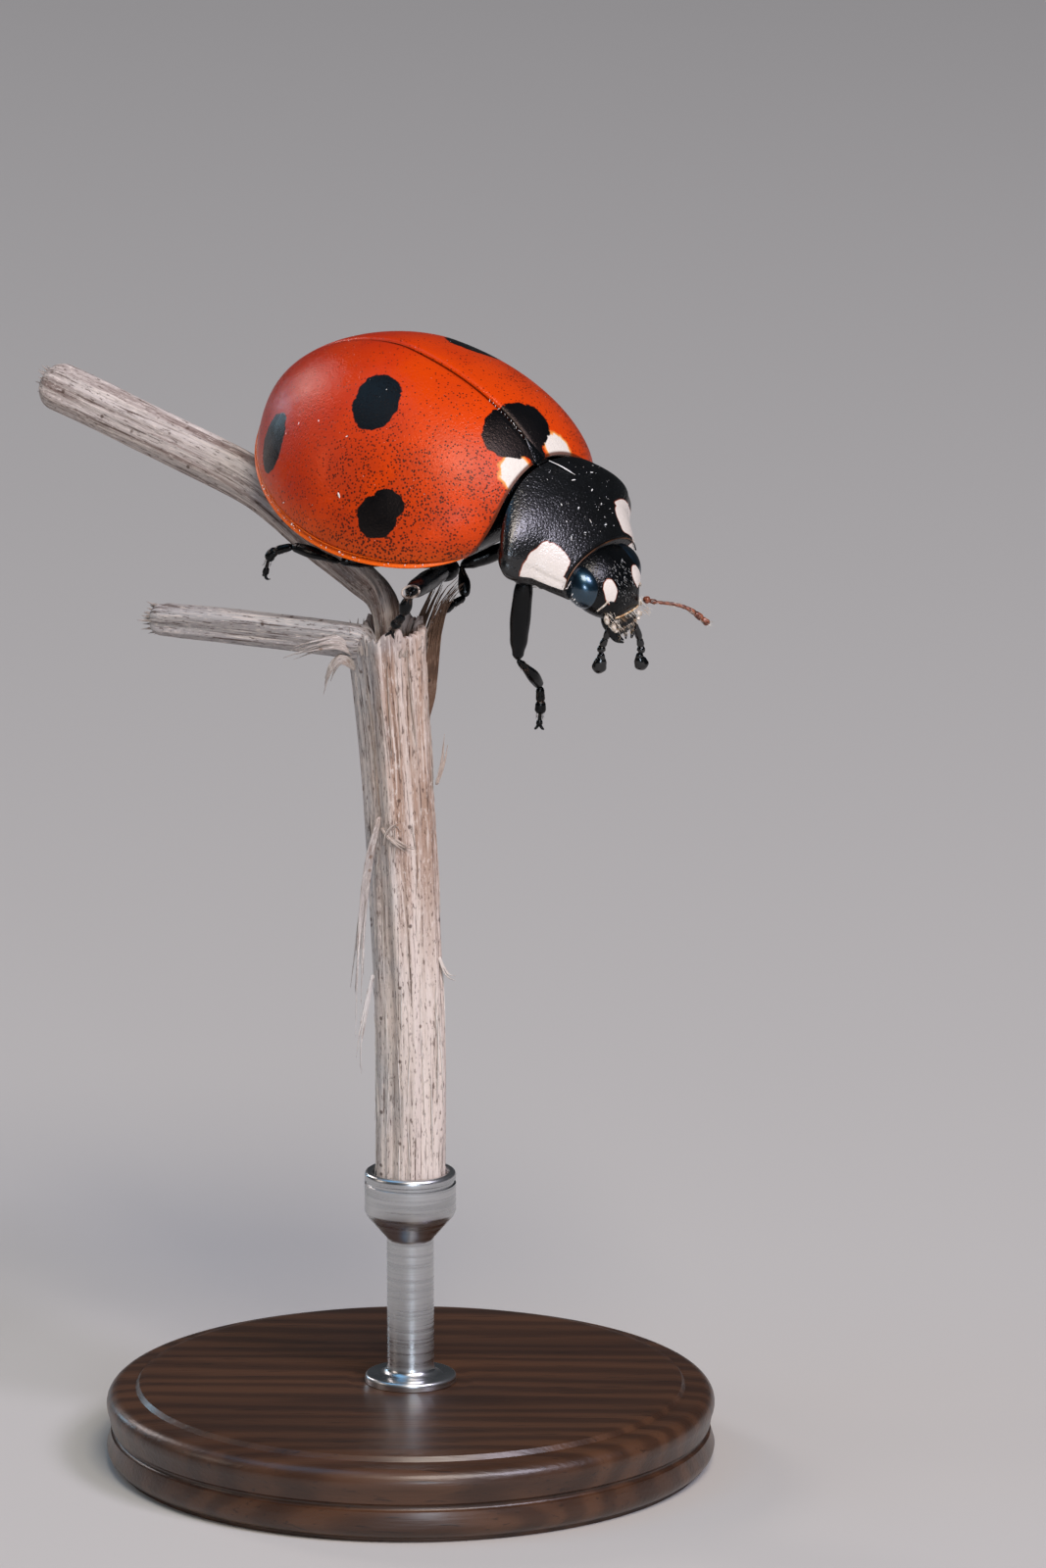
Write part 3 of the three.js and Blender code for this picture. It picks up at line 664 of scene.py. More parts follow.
def addPlate(bm, rear, front, thickness, swell):
    # a small plate between its rear and front edge, swollen in its middle
    def place(a, b):
        x, halfWidth, z = [mix(p, q, b) for p, q in zip(rear, front)]
        rise = swell * sin(pi * a) ** 0.6 * (0.4 + 0.6 * sin(pi * b) ** 0.6)
        return Vector((x, (2 * a - 1) * halfWidth, z + rise))

    faces = facesOf(bendSheet(bm, 12, 6, place))
    bmesh.ops.solidify(bm, geom=list(faces), thickness=thickness)


# The face plate and the lip below it.
bm = bmesh.new()
for plate in head["plates"]:
    addPlate(bm, *plate)
keepPiece("face_plate_and_lip", bm, headPlace, shellFinish, ["mouthparts"])

bm = bmesh.new()
rollTube(bm, [(0.635, -0.31, 0.1), (0.655, -0.2, 0.155), (0.66, -0.05, 0.185), (0.66, 0.1, 0.18),
              (0.655, 0.22, 0.15), (0.64, 0.31, 0.1)], 0.015, 10, 32)
keepPiece("face_plate_edge", bm, headPlace, goldFinish)

# Pale skin at the roots of the jaws and feelers, and the ridge that runs into each eye.
bm = bmesh.new()
for side in (1, -1):
    rollTube(bm, [facePoint(0.32, side * 0.42, 0.01), facePoint(0.355, side * 0.49, 0.02),
                  facePoint(0.385, side * 0.56, 0.03)], 0.017, 8, 10)
    addEgg(bm, (0.595, side * 0.43, 0.03), (0.085, 0.04, 0.05), (0, 0, side * 20), 14, 10)
    addEgg(bm, (0.765, side * 0.335, 0.0), (0.07, 0.045, 0.05), (20, 0, side * 40), 14, 10)
    addEgg(bm, (0.84, side * 0.3, -0.03), (0.03, 0.04, 0.03), (0, 30, 0), 12, 8)
keepPiece("joint_skin", bm, headPlace, creamFinish)

# Jaws: curved teeth that show below the lip, before the dark floor of the mouth.
bm = bmesh.new()
for side in (1, -1):
    rollTube(bm, [(0.7, side * 0.28, -0.12), (0.88, side * 0.27, -0.17), (1.0, side * 0.2, -0.2),
                  (1.08, side * 0.1, -0.2)], [(0, 0.09), (0.5, 0.06), (1, 0.02)], 12, 16, 0.7)
    rollTube(bm, [(0.74, side * 0.12, -0.2), (0.92, side * 0.1, -0.25), (1.05, side * 0.03, -0.25)],
             [(0, 0.06), (0.5, 0.045), (1, 0.015)], 10, 12, 0.8)
addEgg(bm, (0.68, 0, -0.26), (0.26, 0.27, 0.15))
keepPiece("jaws", bm, headPlace, shellFinish)

# Feelers and palps: joints along a curve, each with its start and end share and its two radii.
feelers = {
    "swell": ((0.3, 0.85), (0.7, 1), (1, 0.8)),
    "joints": [(0.0, 0.13, 0.055, 0.07), (0.1, 0.22, 0.04, 0.046)]
    + [(0.19 + 0.075 * i, 0.3 + 0.075 * i, 0.023, 0.029 + 0.0017 * i) for i in range(6)]
    + [(0.62, 0.76, 0.033, 0.047), (0.73, 0.89, 0.042, 0.062), (0.86, 1.0, 0.053, 0.062)],
    "antenna_left": [(2.0, 0.42, -0.54), (2.16, 0.56, -0.6), (2.35, 0.77, -0.65), (2.52, 0.96, -0.74),
                     (2.67, 1.09, -0.88), (2.83, 1.2, -1.04)],
    "antenna_right": [(1.84, -0.34, -0.68), (1.72, -0.1, -0.84), (1.54, 0.02, -0.92),
                      (1.32, 0.14, -0.95), (1.08, 0.26, -0.96)],
}
palps = {
    "joints": [(0.0, 0.3, 0.05, 0.064), (0.25, 0.45, 0.042, 0.066), (0.4, 0.63, 0.038, 0.078)],
    "axe": [(0, 0.04), (0.2, 0.066), (0.5, 0.112), (0.75, 0.13), (0.92, 0.1), (1, 0.07)],
    "palp_right": [(1.9, -0.22, -0.72), (1.83, -0.32, -1.04), (1.78, -0.37, -1.27), (1.79, -0.38, -1.42),
                   (1.77, -0.43, -1.72)],
    "palp_left": [(1.93, 0.3, -0.98), (1.96, 0.42, -1.3), (1.99, 0.45, -1.54), (1.98, 0.43, -1.67),
                  (2.05, 0.47, -1.92)],
}


def chainJoints(bm, frames, joints, swell, sides=14, steps=12, flat=1.0):
    # each joint swells from its thin radius to shares of its thick one
    for start, end, thin, thick in joints:
        line = [frames[round((len(frames) - 1) * mix(start, end, f))][0] for f in (0, 0.5, 1)]
        girth = [(0, thin)] + [(at, thick * share) for at, share in swell]
        rollTube(bm, line, girth, sides, steps, flat)


for name in ("antenna_left", "antenna_right"):
    bm = bmesh.new()
    chainJoints(bm, smoothLine(feelers[name], 80)[0], feelers["joints"], feelers["swell"])
    keepPiece(name + "_joints", bm, beetlePlace, amberFinish, [name])
for name in ("palp_right", "palp_left"):
    bm = bmesh.new()
    frames = smoothLine(palps[name], 80)[0]
    chainJoints(bm, frames, palps["joints"], feelers["swell"])
    # the last joint is shaped like an axe
    rollTube(bm, [frames[i][0] for i in (46, 63, 80)], palps["axe"], 22, 20, 0.8)
    keepPiece(name + "_joints", bm, beetlePlace, palpFinish, [name])
print("head made")

# Each leg's hip, knee, ankle and toe, and how its shin and its foot bow.
legs = {
    "front_right": [(0.44, -0.82, -0.2), (0.5, -1.0, -1.72), (0.58, -0.46, -2.42), (0.7, -0.59, -3.1),
                    (0.05, -0.05, 0.07), (0.02, 0.0, 0.0)],
    "front_left": [(0.62, 0.7, -0.5), (0.92, 1.42, -0.78), (0.1, 0.78, -1.2), (-0.6, 0.5, -1.3),
                   (0, 0.05, 0.04), (0, 0, 0.04)],
    "middle_right": [(-1.15, -1.0, -0.62), (-0.5, -2.68, -0.08), (-0.57, -2.79, -0.53),
                     (-0.82, -2.79, -0.97), (0, -0.02, 0), (-0.02, 0, 0)],
    "middle_left": [(-0.9, 0.5, -0.68), (-1.43, -0.22, -0.96), (-1.12, -0.45, -1.36),
                    (-1.28, -1.05, -1.6), (0.03, 0, 0), (0, -0.03, 0.04)],
    "hind_right": [(-1.85, -0.9, -0.6), (-2.5, -2.15, -0.5), (-3.56, -2.1, -0.63), (-3.96, -2.34, -1.24),
                   (0, -0.04, 0.03), (-0.15, -0.04, 0.08)],
    "hind_left": [(-1.85, 0.9, -0.65), (-2.75, 1.75, -0.75), (-3.5, 0.55, -1.1), (-4.06, -0.1, -1.05),
                  (0, 0.04, 0.03), (0, 0, 0.05)],
}
legShape = {
    "hipRadii": (0.22, 0.26, 0.2), "thighBow": 0.03,
    "thigh": [(0, 0.12), (0.2, 0.165), (0.5, 0.178), (0.75, 0.155), (0.93, 0.1), (1, 0.05)],
    "openThigh": [(0, 0.12), (0.2, 0.19), (0.5, 0.22), (0.8, 0.2), (0.94, 0.16), (1, 0.12)],
    "shin": [(0, 0.04), (0.15, 0.062), (0.6, 0.108), (1, 0.085)],
    # joints of the foot: start and end share, thin and thick radius
    "foot": [(0.0, 0.42, 0.06, 0.08), (0.33, 0.7, 0.07, 0.1), (0.62, 0.9, 0.024, 0.032),
             (0.82, 1.0, 0.035, 0.06)],
    "footSwell": ((0.3, 0.9), (0.8, 1), (1, 0.8)),
    # points of a claw ahead, aside and down from the foot's end, and its radius
    "claw": [(-0.05, 0, 0), (0.02, 0.04, 0), (0.04, 0.07, 0.03), (0.03, 0.08, 0.08)],
    "clawRadius": [(0, 0.034), (0.5, 0.026), (1, 0.006)],
    "kneeRing": 0.02, "ringAhead": 0.05, "ringHalfSizes": (0.155, 0.1),
}


def bowed(start, end, bow):
    # the middle of a limb, pushed out sideways
    start, end, bow = Vector(start), Vector(end), Vector(bow)
    along = (end - start).normalized()
    return [start, start.lerp(end, 0.5) + (bow - along * along.dot(bow)), end]


def keepLimb(bm, limb, ending):
    keepPiece(limb + ending, bm, beetlePlace, legFinish, [limb])


def makeLeg(name, points):
    hip, knee, ankle, toe = [Vector(p) for p in points[:4]]
    outward = Vector((0, -1 if "right" in name else 1, 0))
    bm = bmesh.new()
    addEgg(bm, hip.lerp(knee, -0.04), legShape["hipRadii"])
    thigh = legShape["openThigh" if name == "middle_right" else "thigh"]
    rollTube(bm, bowed(hip, knee, outward * legShape["thighBow"]), thigh, 24, 30, 0.82)
    keepLimb(bm, "femur_" + name, "_shell")

    bm = bmesh.new()
    rollTube(bm, bowed(knee, ankle, points[4]), legShape["shin"], 20, 24, 0.8)
    keepLimb(bm, "tibia_" + name, "_shell")

    bm = bmesh.new()
    frames = smoothLine(bowed(ankle, toe, points[5]), 60)[0]
    chainJoints(bm, frames, legShape["foot"], legShape["footSwell"], 16, 14, 0.85)
    end, across, up = frames[-1]
    ahead = (end - frames[-5][0]).normalized()
    for side in (1, -1):
        rollTube(bm, [end + ahead * far + across * side * aside - up * down
                      for far, aside, down in legShape["claw"]], legShape["clawRadius"], 8, 10)
    keepLimb(bm, "tarsus_" + name, "_foot")


for name, points in legs.items():
    makeLeg(name, points)

# The thigh of the middle right leg ends in an open hollow with a clear rim.
bm = bmesh.new()
hip, knee = [Vector(p) for p in legs["middle_right"][:2]]
along = (knee - hip).normalized()
across = Vector((0.8, 0.45, 0.4))
wide, high = legShape["ringHalfSizes"]
ring = [knee + along * legShape["ringAhead"]
        + turnRound(across * wide, along.cross(across) * high, pi * i / 10) for i in range(21)]
rollTube(bm, ring, legShape["kneeRing"], 8, 60)
keepPiece("knee_rim", bm, beetlePlace, clearFinish)
print("legs made")

hair = {
    "bakePatch": 0.003, "sink": 0.02, "sag": 0.12,
    "faceMap": 3.0,  # width in mm of the square that the face is unwrapped on
    "bristle": 0.004, "brow": 0.0033, "body": 0.0035,  # radii
    "lipRows": (0.68, 0.82, 0.91), "lipHairs": 52, "lipHalfWidth": 0.31, "tuftHairs": 30,
    "browHairs": 120, "feelerHairs": 150, "shinHairs": 110, "footHairs": 130,
}


def plantHairs(name, hairs, place, finish):
    # each hair is its root, direction, length, radius and its root's place on a map of the skin
    bm = bmesh.new()
    layer = bm.loops.layers.uv.new("OFBake")
    for root, direction, length, thick, spot in hairs:
        direction = Vector(direction).normalized()
        across = direction.orthogonal().normalized()
        up = direction.cross(across)
        sag = drawVector() * hair["sag"] * length

        def point(a, b):
            return (Vector(root) + direction * (b * length - hair["sink"]) + sag * b * b
                    + turnRound(across, up, 2 * pi * a) * thick * (1 - b) ** 0.7)

        made = bendSheet(bm, 3, 3, point, (hair["bakePatch"],) * 2)
        for face in facesOf(made):
            for loop in face.loops:
                loop[layer].uv = [held + clamp(at, 0, 0.99) for held, at in zip(loop[layer].uv, spot)]
    closeSeams(bm, reach=0.0004)
    keepPiece(name, bm, place, finish)


def faceSpot(x, y):
    return (0.5 + x / hair["faceMap"], 0.5 + y / hair["faceMap"])


def drawAround(frames, share):
    # a random way out from a limb: its middle there, the way, and the angle
    point, side, up = frames[round((len(frames) - 1) * share)]
    spin = draw(0, 2 * pi)
    return point, turnRound(side, up, spin), spin


faceHairs = []
for i in range(hair["lipHairs"]):  # the fringe of the lip
    y = hair["lipHalfWidth"] * mix(-1, 1, i / (hair["lipHairs"] - 1)) + draw(-0.01, 0.01)
    for row, x in enumerate(hair["lipRows"]):
        root = (x + draw(-0.03, 0.03), y * (1 - 0.12 * row), 0.1 - 0.12 * row - 0.1 * abs(y))
        aim = (1, y * 0.9 + draw(-0.25, 0.25), 0.22 + draw(-0.15, 0.2))
        faceHairs.append((root, aim, draw(0.07, 0.15), hair["bristle"], faceSpot(*root[:2])))
for side in (1, -1):
    for i in range(hair["tuftHairs"]):  # the tufts at the roots of the feelers
        root = (0.58 + draw(-0.08, 0.2), side * (0.36 + draw(-0.04, 0.1)), 0.12 + draw(-0.1, 0.06))
        aim = (0.95, side * draw(-0.15, 0.45), 0.3 + draw(-0.3, 0.4))
        faceHairs.append((root, aim, draw(0.1, 0.2), hair["bristle"], faceSpot(*root[:2])))
plantHairs("face_bristles", faceHairs, headPlace, bristleFinish)

browHairs = []
for i in range(hair["browHairs"]):  # short hairs that lie down the brow
    x, y = draw(-0.2, 0.6), draw(-0.22, 0.24)
    browHairs.append((facePoint(x, y, 0.004), (1, draw(-0.3, 0.3), 0.25 - 0.5 * x), draw(0.03, 0.05),
                      hair["brow"], faceSpot(x, y)))
plantHairs("brow_hairs", browHairs, headPlace, paleHairFinish)

feelerHairs = []
for name in ("antenna_left", "antenna_right"):
    frames = smoothLine(feelers[name], 60)[0]
    ahead = (frames[-1][0] - frames[0][0]).normalized()
    for i in range(hair["feelerHairs"]):
        share = draw(0.12, 1.0)
        point, out, spin = drawAround(frames, share)
        reach = 0.028 if share < 0.66 else 0.048
        feelerHairs.append((point + out * reach, out * 0.55 + ahead, draw(0.05, 0.09), hair["bristle"],
                            (share * 0.45 + (0.5 if "left" in name else 0), spin / 6.3)))
plantHairs("feeler_hairs", feelerHairs, beetlePlace, bristleFinish)

legHairs = []
for index, points in enumerate(legs.values()):
    knee, ankle, toe = [Vector(p) for p in points[1:4]]
    for start, end, bow, reach, count in ((knee, ankle, points[4], 0.068, hair["shinHairs"]),
                                          (ankle, toe, points[5], 0.06, hair["footHairs"])):
        frames = smoothLine(bowed(start, end, bow), 40)[0]
        ahead = (end - start).normalized()
        for i in range(count):
            share = draw(0.1, 0.8)
            point, out, spin = drawAround(frames, share)
            legHairs.append((point + out * reach, out * 0.4 + ahead, draw(0.04, 0.09), hair["body"],
                             ((index + share) / 6.5, spin / 6.3)))
plantHairs("leg_hairs", legHairs, beetlePlace, legHairFinish)

bellyHairs = []
for i in range(belly["hairs"]):
    t, angle = draw(0.12, 0.93), draw(-2.7, -0.44)
    bellyHairs.append((bellyPoint(t, angle) + Vector((0, 0, 0.01)), (-1, 0, -0.5), draw(0.06, 0.12),
                       hair["body"], (t, -angle / pi)))
plantHairs("belly_hairs", bellyHairs, beetlePlace, paleHairFinish)

# Pollen and dust. Single crumbs have a place, a size and a stretch; the others are strewn.
pollen = {
    "onCases": [(-0.72, 0.405, 0.026, 2.4), (-0.502, 0.458, 0.014, 2), (-0.502, 0.583, 0.018, 2),
                (-0.97, 0.565, 0.03, 1), (-0.9, 0.62, 0.02, 1), (-0.26, 0.43, 0.018, 1.5),
                (-0.55, 0.66, 0.013, 2), (-0.62, 0.7, 0.012, 1.5)],
    "onPronotum": [(0.44, 0.5), (0.5, 0.62), (0.4, 0.66), (0.52, 0.78), (0.62, 0.5), (0.64, 0.66),
                   (0.45, 0.84), (0.56, 0.34), (0.66, 0.3), (0.6, 0.86), (0.36, 0.8)],
    "atRightEye": [((0.03, -0.807, -0.032), 0.026, 1.5), ((-0.06, -0.825, 0.0), 0.02, 1.3),
                   ((0.1, -0.78, -0.03), 0.016, 1.6), ((0.15, -0.75, -0.05), 0.012, 1.4),
                   ((0.0, -0.815, -0.05), 0.014, 1.2)],
    "fibre": [(0.52, 0.06, 0.08), (0.55, 0.16, 0.05), (0.58, 0.3, 0.02)],
    "onRim": 34, "onSeam": 18, "strewnOnCases": 120, "strewnOnPronotum": 90,
}


def addCrumb(bm, point, size, stretch=1.0):
    turn = [draw(0, 180) for i in range(3)]
    addEgg(bm, point, (size * stretch, size * 0.6, size * 0.4), turn, 7, 5)


def shieldPoint(a, s, lift=0.0):
    # a from the right margin, 0, to the left one, 1
    return pronotumPoint(s, pi * (1 - a)) + Vector((0, 0, lift))


bm = bmesh.new()
for u, t, size, stretch in pollen["onCases"]:
    addCrumb(bm, domePoint(t, u, -0.01), size, stretch)
for i in range(pollen["onRim"]):
    spot = domePoint(draw(0.08, 0.85), -0.965 - draw(0, 0.02), -0.02)
    addCrumb(bm, spot, draw(0.006, 0.015), draw(1, 2))
for i in range(pollen["onSeam"]):
    along = mix(0.0, 0.19, i / (pollen["onSeam"] - 1))
    addCrumb(bm, domePoint(along, draw(-0.008, 0.004), 0.03), 0.011, draw(1.5, 3.5))
for i in range(pollen["strewnOnCases"]):
    addCrumb(bm, domePoint(draw(0.02, 0.98), draw(-0.95, 0.9)), draw(0.003, 0.006), draw(1, 2.5))
keepPiece("pollen_on_wing_cases", bm, beetlePlace, dustFinish)

bm = bmesh.new()
for a, s in pollen["onPronotum"]:
    addCrumb(bm, shieldPoint(a, s, 0.008), draw(0.015, 0.024), draw(1.2, 2.8))
for i in range(pollen["strewnOnPronotum"]):
    addCrumb(bm, shieldPoint(draw(0.1, 0.75), draw(0.05, 0.95)), draw(0.004, 0.008), draw(1, 3))
fibre = [shieldPoint(*spot) for spot in pollen["fibre"]]
rollTube(bm, fibre, [(0, 0.006), (0.7, 0.012), (1, 0.004)], 6, 10)
keepPiece("pollen_on_pronotum", bm, beetlePlace, dustFinish)

bm = bmesh.new()
for point, size, stretch in pollen["atRightEye"]:
    addCrumb(bm, Vector(point), size, stretch)
keepPiece("pollen_on_head", bm, headPlace, dustFinish)
print("hairs and pollen made")

# Straw: dried grass stalk, long fibres with a silky edge. A pale bluish grey painted in patches down its
# left side, away from the key lamp, and a paler lower stem are painted light. The streaks run along each
# piece's own map, which is in millimetres round and along it.
strawPaint = {
    # grey is painted light on the stem's left side, and greyShare is how much of it
    "tan": "#aa8d7b", "pale": "#e3d6cd", "brown": "#4b352a", "grey": "#a6aeb5", "greyShare": 0.55,
    # streaks: how many per mm round it, how many along it for one round it, and their detail
    "coarse": (3.4, 0.035, 4), "fine": (19.0, 0.035, 5), "fleck": (26.0, 0.22, 3),
    "speckShare": 0.12, "relief": 0.03,
}


def makeStrawFinish(name, **changes):
    paint = dict(strawPaint, **changes)
    finish, shader, inMm, add = startFinish(name, {"Roughness": 0.72, "Specular IOR Level": 0.3})
    flat = add("UVMap", {"uv_map": "UVMap"})
    streaks = []
    for count, stretch, detail in (paint["coarse"], paint["fine"], paint["fleck"]):
        drawn = add("Mapping", {"Vector": flat, "Scale": (count, count * stretch, 1)})
        streaks.append(add("TexNoise", {"Vector": drawn, "Scale": 1, "Detail": detail,
                                        "Roughness": 0.65}))
    coarse, fine, fleck = streaks
    parts = add("SeparateXYZ", {0: inMm})
    cloud = add("TexNoise", {"Vector": inMm, "Scale": 0.55, "Detail": 3})
    height = parts.outputs[2]
    # leftSideLight: high on the stem's left side, in patches; it places the painted side light
    leftSideLight = add("Math", {"operation": "MULTIPLY", 0: parts, 1: -0.9})
    leftSideLight = add("Math", {"operation": "MULTIPLY_ADD", 0: cloud, 1: 2.4, 2: leftSideLight})
    cells = add("TexVoronoi", {"Vector": inMm, "Scale": 6})
    chance = add("SeparateColor", {0: cells.outputs["Color"]})
    kept = add("Math", {"operation": "LESS_THAN", 0: chance, 1: paint["speckShare"]})
    dot = add("MapRange", {"Value": cells, "From Min": 0.3, "From Max": 0.12})
    speck = add("Math", {"operation": "MULTIPLY", 0: dot, 1: kept})
    # Painted light: the height layer paints the stem paler low down, and the grey layer over
    # leftSideLight paints a pale bluish grey down its left side.
    paintLayers(add, shader, paint, "tan", [
        (height, 11.5, 7.5, 0.75, "pale"), (coarse, 0.42, 0.62, 0.75, "pale"),
        (coarse, 0.42, 0.28, 0.8, "brown"), (leftSideLight, 1.35, 2.1, paint["greyShare"], "grey"),
        (fine, 0.52, 0.66, 0.8, "pale"), (fine, 0.46, 0.34, 0.85, "brown"),
        (fleck, 0.56, 0.66, 0.65, "pale"), (fleck, 0.44, 0.34, 0.75, "brown"),
        (speck, 0, 1, 0.8, "brown")])
    pressRelief(add, shader, [(streak, paint["relief"] * share) for streak, share in
                              ((coarse, 1), (fine, 0.6), (fleck, 0.4))])
    return finish


strawFinish = makeStrawFinish("straw, weathered grass stalk")
# Bent straw: the same fibres in a browner tan all over, with less of the painted side light.
branchFinish = makeStrawFinish("straw, bent side of the stalk", tan="#86695a", greyShare=0.2)
# Husk: the stalk's outer skin, a dark brown film that splits into ribbons.
huskFinish = makeStrawFinish("husk, brown skin of the stalk", tan="#664c3b", pale="#997f6d",
                             brown="#2e1f17", greyShare=0.1)
# Torn fibre: the stalk's inside, pale and matt, so the broken edges stand out.
pithFinish = makeStrawFinish("torn fibre, inside of the stalk", tan="#b3a194", pale="#ece6df",
                             brown="#79604f", greyShare=0.3)

stalk = {
    "stem": [(0, 0, 4.42), (0.02, 0, 7.0), (-0.06, 0, 9.4), (-0.16, 0, 11.6), (-0.36, 0, 14.5)],
    "stemRadius": 0.57, "stemRibs": 5, "stemMapWidth": 3.6, "stemSteps": 80,
    "topSpread": 0.1, "spreadFrom": 0.75, "tornFrom": 0.93, "outerShare": 0.93,
    "hollowDepth": 0.45, "wall": 0.3, "footRounding": 0.03,
    "branch": [(-0.36, 0.16, 14.3), (-0.38, 0.2, 14.8), (-0.5, 0.66, 14.98), (-0.77, 1.29, 15.1),
               (-1.36, 2.0, 15.5), (-2.64, 3.45, 16.32), (-4.94, 4.98, 17.15), (-6.36, 5.88, 17.64)],
    "branchRadius": [(0, 0.2), (0.08, 0.25), (0.43, 0.4), (1, 0.4)],
    "stub": [(-0.6, -0.24, 14.34), (-2.3, 0.86, 14.3), (-4.4, 2.37, 14.2)],
    "stubRadius": [(0, 0.28), (1, 0.27)],
    "ribHeight": 0.03, "grainHeight": 0.02,
}


def noiseRound(angle, radius, shift=0.0, height=0.0):
    # noise on a circle, so that it closes on itself
    return noise.noise(Vector((cos(angle) * radius + shift, sin(angle) * radius, height)))


def fibreRelief(angle, along, seed):
    # ribs that wander slowly, and fine grain between them
    ribs = noiseRound(angle, 3.2, seed, along * 0.18)
    grain = noise.noise(Vector((cos(angle) * 11, sin(angle) * 11 + seed, along * 0.5)))
    return ribs * 2 * stalk["ribHeight"] + grain * stalk["grainHeight"]


stemFrames, stemGone = smoothLine(stalk["stem"], stalk["stemSteps"])


def stemReach(share, angle):
    spread = stalk["topSpread"] * climb(share, stalk["spreadFrom"], 1) ** 2
    ribs = stalk["ribHeight"] * cos(stalk["stemRibs"] * angle)
    return stalk["stemRadius"] + spread + ribs + fibreRelief(angle, share * 10, 0)


def stemPoint(share, angle, reach):
    at = share * stalk["stemSteps"]
    i = min(stalk["stemSteps"] - 1, int(at))
    point, side, up = [p.lerp(q, at - i) for p, q in zip(stemFrames[i], stemFrames[i + 1])]
    return point + turnRound(side, up, angle) * reach


def placeStem(a, b):
    # up the outside, over the torn lip and down into the hollow
    angle = 2 * pi * a
    share, within = clamp(b / stalk["outerShare"]), climb(b, stalk["outerShare"], 1)
    reach = stemReach(share, angle)
    torn = noiseRound(angle, 2.1, height=3) * 0.35 + noiseRound(angle, 7, height=8) * 0.2
    lift = torn * climb(share, stalk["tornFrom"], 1) ** 2
    if within > 0:
        reach *= 1 - stalk["wall"] * min(1, within * 3)
        lift -= stalk["hollowDepth"] * clamp(within * 3 - 0.6)
        reach *= 1 - climb(within, 0.7, 1)
    foot = clamp(share * stemGone[-1] / stalk["footRounding"]) ** 0.5
    return stemPoint(share, angle, reach * foot) + Vector((0, 0, lift))


bm = bmesh.new()
bendSheet(bm, 150, 190, placeStem, (stalk["stemMapWidth"], stemGone[-1]))
closeSeams(bm)
keepPiece("stalk_stem", bm, benchPlace, strawFinish, ["perch_stem"])


def makeShoot(name, points, radius, ribs, seed, finish, nodes):
    length = sum((Vector(b) - Vector(a)).length for a, b in zip(points, points[1:]))

    def girth(share, angle):
        reach = readProfile(radius, share) + stalk["ribHeight"] * cos(ribs * angle)
        return reach + fibreRelief(angle, share * length, seed)

    bm = bmesh.new()
    rollTube(bm, points, girth, 72, 150, fine=90)
    keepPiece(name, bm, benchPlace, finish, nodes)


makeShoot("stalk_branch", stalk["branch"], stalk["branchRadius"], 3, 11, branchFinish, ["perch_branch"])
makeShoot("stalk_stub", stalk["stub"], stalk["stubRadius"], 4, 23, strawFinish, ["perch_stub"])

# Torn strips, husks and fibres that cross the scar of an old side shoot: each is a curve, its width
# in mm and how many fibres it has.
torn = {
    "strips": [
        ([(-0.85, -0.2, 14.1), (-1.2, -0.3, 14.36), (-1.6, -0.3, 14.28), (-2.08, -0.22, 14.1)], 0.24, 9),
        ([(-0.9, -0.25, 13.9), (-1.15, -0.36, 14.1), (-1.35, -0.36, 13.85), (-1.46, -0.34, 13.52)],
         0.2, 8),
        ([(-0.86, 0.1, 13.9), (-1.2, 0.1, 14.2), (-1.7, 0.2, 14.2), (-1.95, 0.3, 14.0)], 0.2, 7),
        ([(-0.5, -0.5, 11.4), (-0.68, -0.52, 10.6), (-0.82, -0.5, 9.2), (-0.86, -0.46, 7.6)], 0.16, 8),
        ([(-0.62, -0.36, 11.0), (-0.76, -0.4, 10.0), (-0.9, -0.38, 8.8), (-0.95, -0.36, 8.2)], 0.1, 5),
        ([(-0.62, -0.3, 8.6), (-0.74, -0.34, 8.0), (-0.84, -0.32, 7.4), (-0.86, -0.3, 6.9)], 0.08, 4),
        ([(0.5, -0.25, 8.9), (0.62, -0.26, 8.6), (0.78, -0.24, 8.5)], 0.03, 2),
        ([(0.46, -0.3, 11.9), (0.56, -0.3, 12.3), (0.6, -0.3, 12.9)], 0.05, 3),
        ([(-0.5, 0.05, 14.2), (-0.52, 0.1, 14.7), (-0.72, 0.3, 15.05)], 0.16, 6),
        ([(-0.2, 0.2, 14.2), (-0.2, 0.35, 14.75), (-0.4, 0.9, 14.95), (-0.7, 1.3, 15.2)], 0.18, 6)],
    "scar": [
        ([(-0.42, -0.5, 10.9), (-0.34, -0.58, 11.15), (-0.2, -0.6, 11.28), (-0.06, -0.6, 11.1)], 0.1, 4),
        ([(-0.46, -0.46, 11.2), (-0.3, -0.6, 11.05), (-0.1, -0.62, 10.9), (0.08, -0.58, 10.82)],
         0.08, 4)],
    "husks": [
        ([(0.26, -0.1, 12.9), (0.36, -0.16, 13.6), (0.46, -0.2, 14.4), (0.56, -0.2, 15.05)], 0.32, 15),
        ([(0.2, 0.1, 13.2), (0.38, 0.1, 14.2), (0.6, 0.16, 15.0), (0.92, 0.2, 15.35)], 0.36, 15),
        ([(0.1, 0.4, 13.6), (0.16, 0.5, 14.3), (0.4, 0.56, 14.9), (0.6, 0.6, 15.3)], 0.3, 12)],
    "fibreRadius": [(0, 0.03), (0.5, 0.026), (1, 0.006)],
    "splinters": 44, "splinterRing": 0.6, "splinterFoot": (-0.35, 0, 14.15),
    "splinterRadius": [(0, 0.05), (0.6, 0.03), (1, 0.006)],
    # the cut end of each shoot and the way it points
    "shootEnds": [(stalk["branch"][-1], (-0.84, 0.5, 0.28)), (stalk["stub"][-1], (-0.81, 0.58, -0.04))],
    "endFibres": 30, "endRadius": [(0, 0.04), (0.6, 0.03), (1, 0.006)], "looseFibres": 90,
}


